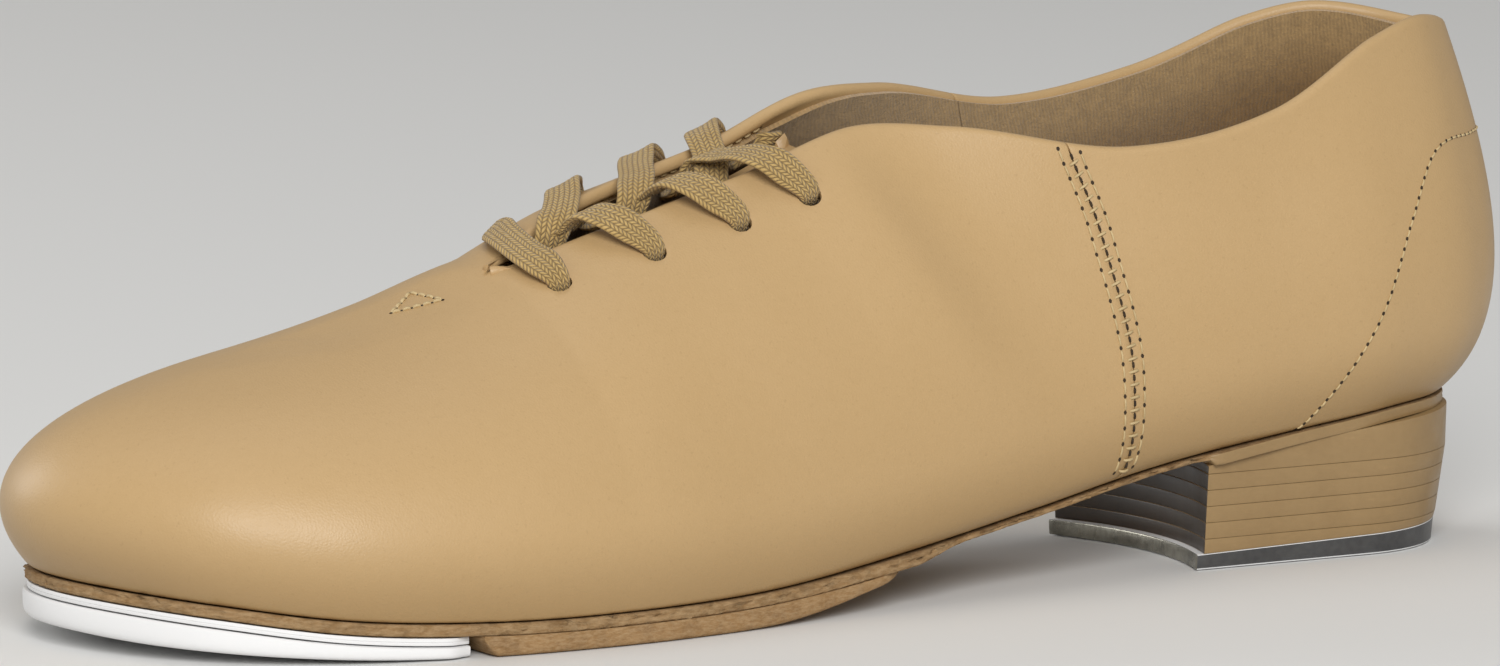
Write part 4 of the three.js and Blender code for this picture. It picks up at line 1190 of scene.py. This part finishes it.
def heelOutline(z, lip=0.0):
    h = heelShape
    share = min(z / h["top"], 1.1)
    radius = h["radius"][0] + (h["radius"][1] - h["radius"][0]) * share
    rear = h["rear"][0] + (h["rear"][1] - h["rear"][0]) * share
    front = h["breast"] - lip
    turn = rear - radius
    hollow = [(front + h["hollow"] * (1 - t * t), -radius * t) for t in np.linspace(-1, 1, 33)]
    straight = [(front + (turn - front) * t, -radius) for t in np.linspace(0, 1, 12)[1:-1]]
    back = [(turn + radius * math.cos(a), radius * math.sin(a)) for a in np.radians(np.linspace(-90, 90, 73))]
    return hollow + straight + back + [(x, -y) for x, y in reversed(straight)]


# block of the heel's outline: a circle is laid on the outline, raised by extruding, and its rims bevelled
def heelBlock(name, low, high, lip=0.0, bevel=0.16):
    outline = heelOutline(low(heelShape["breast"]), lip)
    bpy.ops.object.select_all(action="DESELECT")
    bpy.ops.mesh.primitive_circle_add(vertices=len(outline), radius=0.02, fill_type="NGON")
    piece = bpy.context.active_object
    piece.name = piece.data.name = name
    for vert, (x, y) in zip(piece.data.vertices, outline):
        vert.co = Vector(toFrame((x, y, low(x))))
    bpy.ops.object.mode_set(mode="EDIT")
    bpy.ops.mesh.select_all(action="SELECT")
    bpy.ops.mesh.extrude_region_move(TRANSFORM_OT_translate={"value": (0, 0, 0.002)})
    bpy.ops.object.mode_set(mode="OBJECT")
    upper = heelOutline(high(heelShape["breast"]), lip)
    for vert, (x, y) in zip(list(piece.data.vertices)[len(outline):], upper):
        vert.co = Vector(toFrame((x, y, high(x))))
    bpy.ops.object.mode_set(mode="EDIT")
    bpy.ops.mesh.select_all(action="SELECT")
    bpy.ops.mesh.normals_make_consistent(inside=False)
    bpy.ops.object.mode_set(mode="OBJECT")
    applyModifier(piece, "BEVEL", width=bevel * 0.001, segments=3, limit_method="ANGLE",
                  angle_limit=math.radians(45))
    return piece


def onBreast(center, normal):
    return normal.x < -0.55 and abs(normal.z) < 0.6 and center.x < toFrame((240, 0, 0))[0]


def heelTapTop(x):
    return heelShape["tapFront"] + heelShape["tapRise"] * (x - heelShape["breast"]) / (
        heelShape["rear"][0] - heelShape["breast"])


def makeHeel():
    h = heelShape
    bottom = heelTapTop
    for i, z in enumerate(h["lifts"]):
        lift = heelBlock(f"heelLift{i + 1}", bottom, lambda x, z=z: z - h["gap"], bevel=h["bevel"])
        finishPiece(lift, "liftLeather", replaces=(f"heel_lift_{i + 1}",), angle=30)
        markFaces(lift, "breastFinish", onBreast)
        bottom = lambda x, z=z: z
    seatTop = soleShape["midsole"] + h["gap"]
    seat = heelBlock("heelSeatBlock", bottom, lambda x: float(featherHeight(x)) - seatTop, bevel=h["bevel"])
    finishPiece(seat, "liftLeather", replaces=("heel_seat",), angle=30)
    markFaces(seat, "breastFinish", onBreast)
    tap = heelBlock("heelTapPlate", lambda x: 0.0, lambda x: heelTapTop(x) - h["gap"],
                    h["tapLip"], h["tapChamfer"])
    drillHoles(tap, soleShape["heelScrews"], lambda x: 0.3, 10.0, 1.7, 3.3)
    finishPiece(tap, "tapMetal", replaces=("heel_tap",), angle=30)
    # the side faces take the darker, painted-shade copy of the tap metal
    markFaces(tap, "shadedHeelTapSide", lambda c, n: abs(n.z) < 0.3 and n.x > -0.5)
    markFaces(tap, "groundEdge", lambda c, n: n.x < -0.5)


makeSole()
makeHeel()
print("sole and heel made")


# ---- tongue ----
tongueShape = {
    "depth": 7.6, "thickness": 1.8, "span": (0.38, 0.63), "reach": 13.0, "edge": 0.45, "round": 0.16,
}


def tonguePoint(across, u):
    side = outer if across < 0 else inner
    share, edge = abs(across), tongueShape["edge"]
    if share >= edge:
        return facingPoint(side, u, (share - edge) / (1 - edge) * tongueShape["reach"], 0)
    t = 0.5 + 0.5 * across / edge
    middle = formPoints(outer, u, 1.0) * (1 - t) + formPoints(inner, u, 1.0) * t
    middle[2] += 0.12 * float(halfOpening(u)) * (1 - (across / edge) ** 2)
    return middle


def makeTongue():
    first, last = tongueShape["span"]
    columns = np.linspace(first + 0.001, last, 30)
    rows = np.linspace(-1, 1, 27)
    points = np.empty((len(columns), len(rows), 3))
    for i, u in enumerate(columns):
        nearEnd = min(last - u, u - first) / (last - first)
        narrow = 1 - tongueShape["round"] * (1 - min(nearEnd / 0.14, 1)) ** 2.2
        for j, across in enumerate(rows):
            points[i, j] = tonguePoint(across * narrow, u)
    along, up = np.gradient(points, axis=0), np.gradient(points, axis=1)
    normals = unit(np.cross(along, up))
    flat = np.zeros_like(points[..., 0])
    outside = np.stack([flat, np.tile(rows, (len(columns), 1)), flat + 1], -1)
    normals *= np.sign(np.sum(normals * outside, -1, keepdims=True))
    for _ in range(3):
        normals[1:-1, 1:-1] = unit(normals[1:-1, 1:-1] + normals[:-2, 1:-1] + normals[2:, 1:-1]
                                   + normals[1:-1, :-2] + normals[1:-1, 2:])
    points = points - normals * (tongueShape["depth"] + 0.05)
    faces = gridFaces(len(columns), len(rows))
    piece = newPiece("tongueLeather", points.reshape(-1, 3), faces, sheetUv(points))
    applyModifier(piece, "SOLIDIFY", thickness=(tongueShape["thickness"] - 0.1) * 0.001, offset=-1)
    applyModifier(piece, "BEVEL", width=0.0005, segments=3, limit_method="ANGLE",
                  angle_limit=math.radians(50))
    finishPiece(piece, "tongueLeather", body="tongue", replaces=("tongue",), angle=60)


makeTongue()


# ---- lace ----
laceShape = {
    "width": 6.7, "thickness": 1.25, "throughWidth": 4.1, "throughThickness": 1.9, "columns": 7, "yarns": 1.1,
    "over": 1.3, "under": -5.5, "step": 0.55,
}


# a place on the lace: point, direction of its width, width, thickness
def lacePlace(point, along, narrow=0.0):
    width = laceShape["width"] * (1 - narrow) + laceShape["throughWidth"] * narrow
    thickness = laceShape["thickness"] * (1 - narrow) + laceShape["throughThickness"] * narrow
    return np.concatenate([point, along, [width, thickness]])


def laceAt(side, u, inset, height, narrow=0.0):
    along = unit(formPoints(side, u + 0.01, 1.0) - formPoints(side, u - 0.01, 1.0))
    return lacePlace(facingPoint(side, u, inset, height), along, narrow)


def laceAcross(u, share, height):
    first, second = (laceAt(side, u, 0, height) for side in (outer, inner))
    return first * (1 - share) + second * share


def eyeletPlaces(side, k):
    u, inset = upperShape["eyeletStations"][k], upperShape["eyeletInset"]
    return [laceAt(side, u, inset - 0.6, 0.9, 0.75), laceAt(side, u, inset + 0.1, -0.9, 1.0),
            laceAt(side, u, inset, -3.7, 1.0)]


# from under one facing, up through the gap and over the other facing to its next eyelet
def crossing(side, k):
    first, second = upperShape["eyeletStations"][k:k + 2]

    def u(f):
        return first + (second - first) * f

    def share(t):
        return t if side == outer else 1 - t

    onTop = (side == outer) if k < 2 else (side == inner)
    lift = (0.2, 1.5, 2.0) if onTop else (-3.2, -1.3, -0.2)
    inset = upperShape["eyeletInset"]
    arch = 3.4 if side == inner else 2.2     # the near strands stand up in an arch
    return [
        laceAt(side, u(0.03), inset - 3, laceShape["under"] - 0.2, 0.5),
        laceAt(side, u(0.1), 3, laceShape["under"] - 0.6),
        laceAcross(u(0.2), share(0.18), laceShape["under"]),
        laceAcross(u(0.41), share(0.38), lift[0]), laceAcross(u(0.5), share(0.5), lift[1]),
        laceAcross(u(0.6), share(0.64), lift[2]), laceAcross(u(0.74), share(0.9), arch),
        laceAt(-side, u(0.84), 2.5, arch + 0.4), laceAt(-side, u(0.93), 6.2, arch * 0.75, 0.15),
    ]


def laceEnd(firstSide):
    places = eyeletPlaces(firstSide, 0)
    side = firstSide
    for k in range(len(upperShape["eyeletStations"]) - 1):
        places += crossing(side, k)
        side = -side
        places += eyeletPlaces(side, k + 1)
    u = upperShape["eyeletStations"][-1]
    return places + [laceAt(side, u + step, inset, laceShape["under"], 0.4)
                     for step, inset in ((0.004, 7.5), (0.014, 5.5), (0.026, 5), (0.04, 6))]


def makeLace():
    s = laceShape
    bar = [laceAt(side, upperShape["eyeletStations"][0], inset, height)
           for side, inset, height in ((outer, 6.4, s["over"] + 0.7), (outer, 2.0, s["over"] + 0.9),
                                       (inner, 2.0, s["over"] + 0.9), (inner, 6.4, s["over"] + 0.7))]
    route = np.array(laceEnd(outer)[::-1] + bar + laceEnd(inner))
    gaps = np.linalg.norm(np.diff(route[:, :3], axis=0), axis=1) ** 0.5
    curve = smoothTable(np.column_stack([np.concatenate([[0], np.cumsum(gaps)]), route]))
    keys = np.linspace(0, gaps.sum(), 4000)
    fine = curve(keys)
    arcs = np.concatenate([[0], np.cumsum(np.linalg.norm(np.diff(fine[:, :3], axis=0), axis=1))])
    count = int(arcs[-1] / s["step"])
    wanted = np.linspace(0, arcs[-1], count)
    rings = np.stack([np.interp(wanted, arcs, fine[:, k]) for k in range(8)], 1)
    centres = rings[:, :3]
    tangents = unit(np.gradient(centres, axis=0))
    across = rings[:, 3:6] - tangents * np.sum(rings[:, 3:6] * tangents, 1, keepdims=True)
    for _ in range(6):
        across[1:-1] = unit(across[1:-1] * 2 + across[:-2] + across[2:])
    across = unit(across - tangents * np.sum(across * tangents, 1, keepdims=True))
    facing = np.cross(tangents, across)
    outline = []                             # flat section with round edges: across, height, braid column
    steps = 18
    for k in range(steps + 1):
        outline.append((-1 + 2 * k / steps, 1, s["columns"] * k / steps))
    for k in range(steps + 1):
        outline.append((1 - 2 * k / steps, -1, s["columns"] * (1 + k / steps)))
    points, uv = [], []
    for i, (centre, a, b) in enumerate(zip(centres, across, facing)):
        width, thickness = rings[i, 6] / 2, rings[i, 7] / 2
        for x, y, column in outline:
            bow = (1 - abs(x) ** 5) ** 0.5
            cell = column % 1.0
            slant = (cell - 0.5) * (1 if int(column) % 2 else -1)
            yarn = abs(math.sin(math.pi * (wanted[i] * s["yarns"] + slant)))
            relief = 0.16 * yarn ** 0.6 * math.sin(math.pi * cell) ** 0.5 - 0.1
            points.append(centre + a * x * width + b * y * (thickness * bow + relief * bow))
            uv.append((column, wanted[i] * s["yarns"]))
    n = len(outline)
    faces = []
    for i in range(count - 1):
        for j in range(n):
            a, b = i * n + j, i * n + (j + 1) % n
            faces.append((a, a + n, b + n, b))
    faces.append(tuple(range(n)))
    faces.append(tuple(reversed(range((count - 1) * n, count * n))))
    piece = newPiece("laceBand", np.array(points), faces, uv, weld=0)
    sheet = bmesh.new()
    sheet.from_mesh(piece.data)
    bmesh.ops.remove_doubles(sheet, verts=sheet.verts, dist=1e-5)
    bmesh.ops.recalc_face_normals(sheet, faces=sheet.faces)
    sheet.to_mesh(piece.data)
    sheet.free()
    finishPiece(piece, "laceCotton", replaces=("lace",), angle=70)
    print("lace length, mm:", round(float(arcs[-1])))


makeLace()
print("lace made")


# ---- finishes of the carried-over pieces, floor ----
nodeLooks = {
    "toe_puff": "stiffCloth", "heel_counter": "fibreBoard", "outer_seam_tape": "stiffCloth",
    "inner_seam_tape": "stiffCloth", "insole_board": "fibreBoard", "sock_lining": "sockCloth",
    "bottom_filler": "corkFiller", "shank": "darkSteel",
}


def dressNodes():
    for name, node in nodes.items():
        look = "darkSteel" if "screw" in name or "nail" in name else nodeLooks.get(name)
        if look:
            node.data.materials.clear()
            node.data.materials.append(looks[look])


def makeFloor():
    bpy.ops.object.select_all(action="DESELECT")
    bpy.ops.mesh.primitive_plane_add(size=studio["floorSize"], location=(0, 0, -0.0002))
    floor = bpy.context.active_object
    floor.name = "studioFloor"
    material, _, shader, _ = newMaterial("studioFloor", Specular_IOR_Level=0.2)
    shader.inputs["Base Color"].default_value = studio["floorColour"]
    shader.inputs["Roughness"].default_value = 0.85
    floor.data.materials.append(material)


dressNodes()
makeFloor()
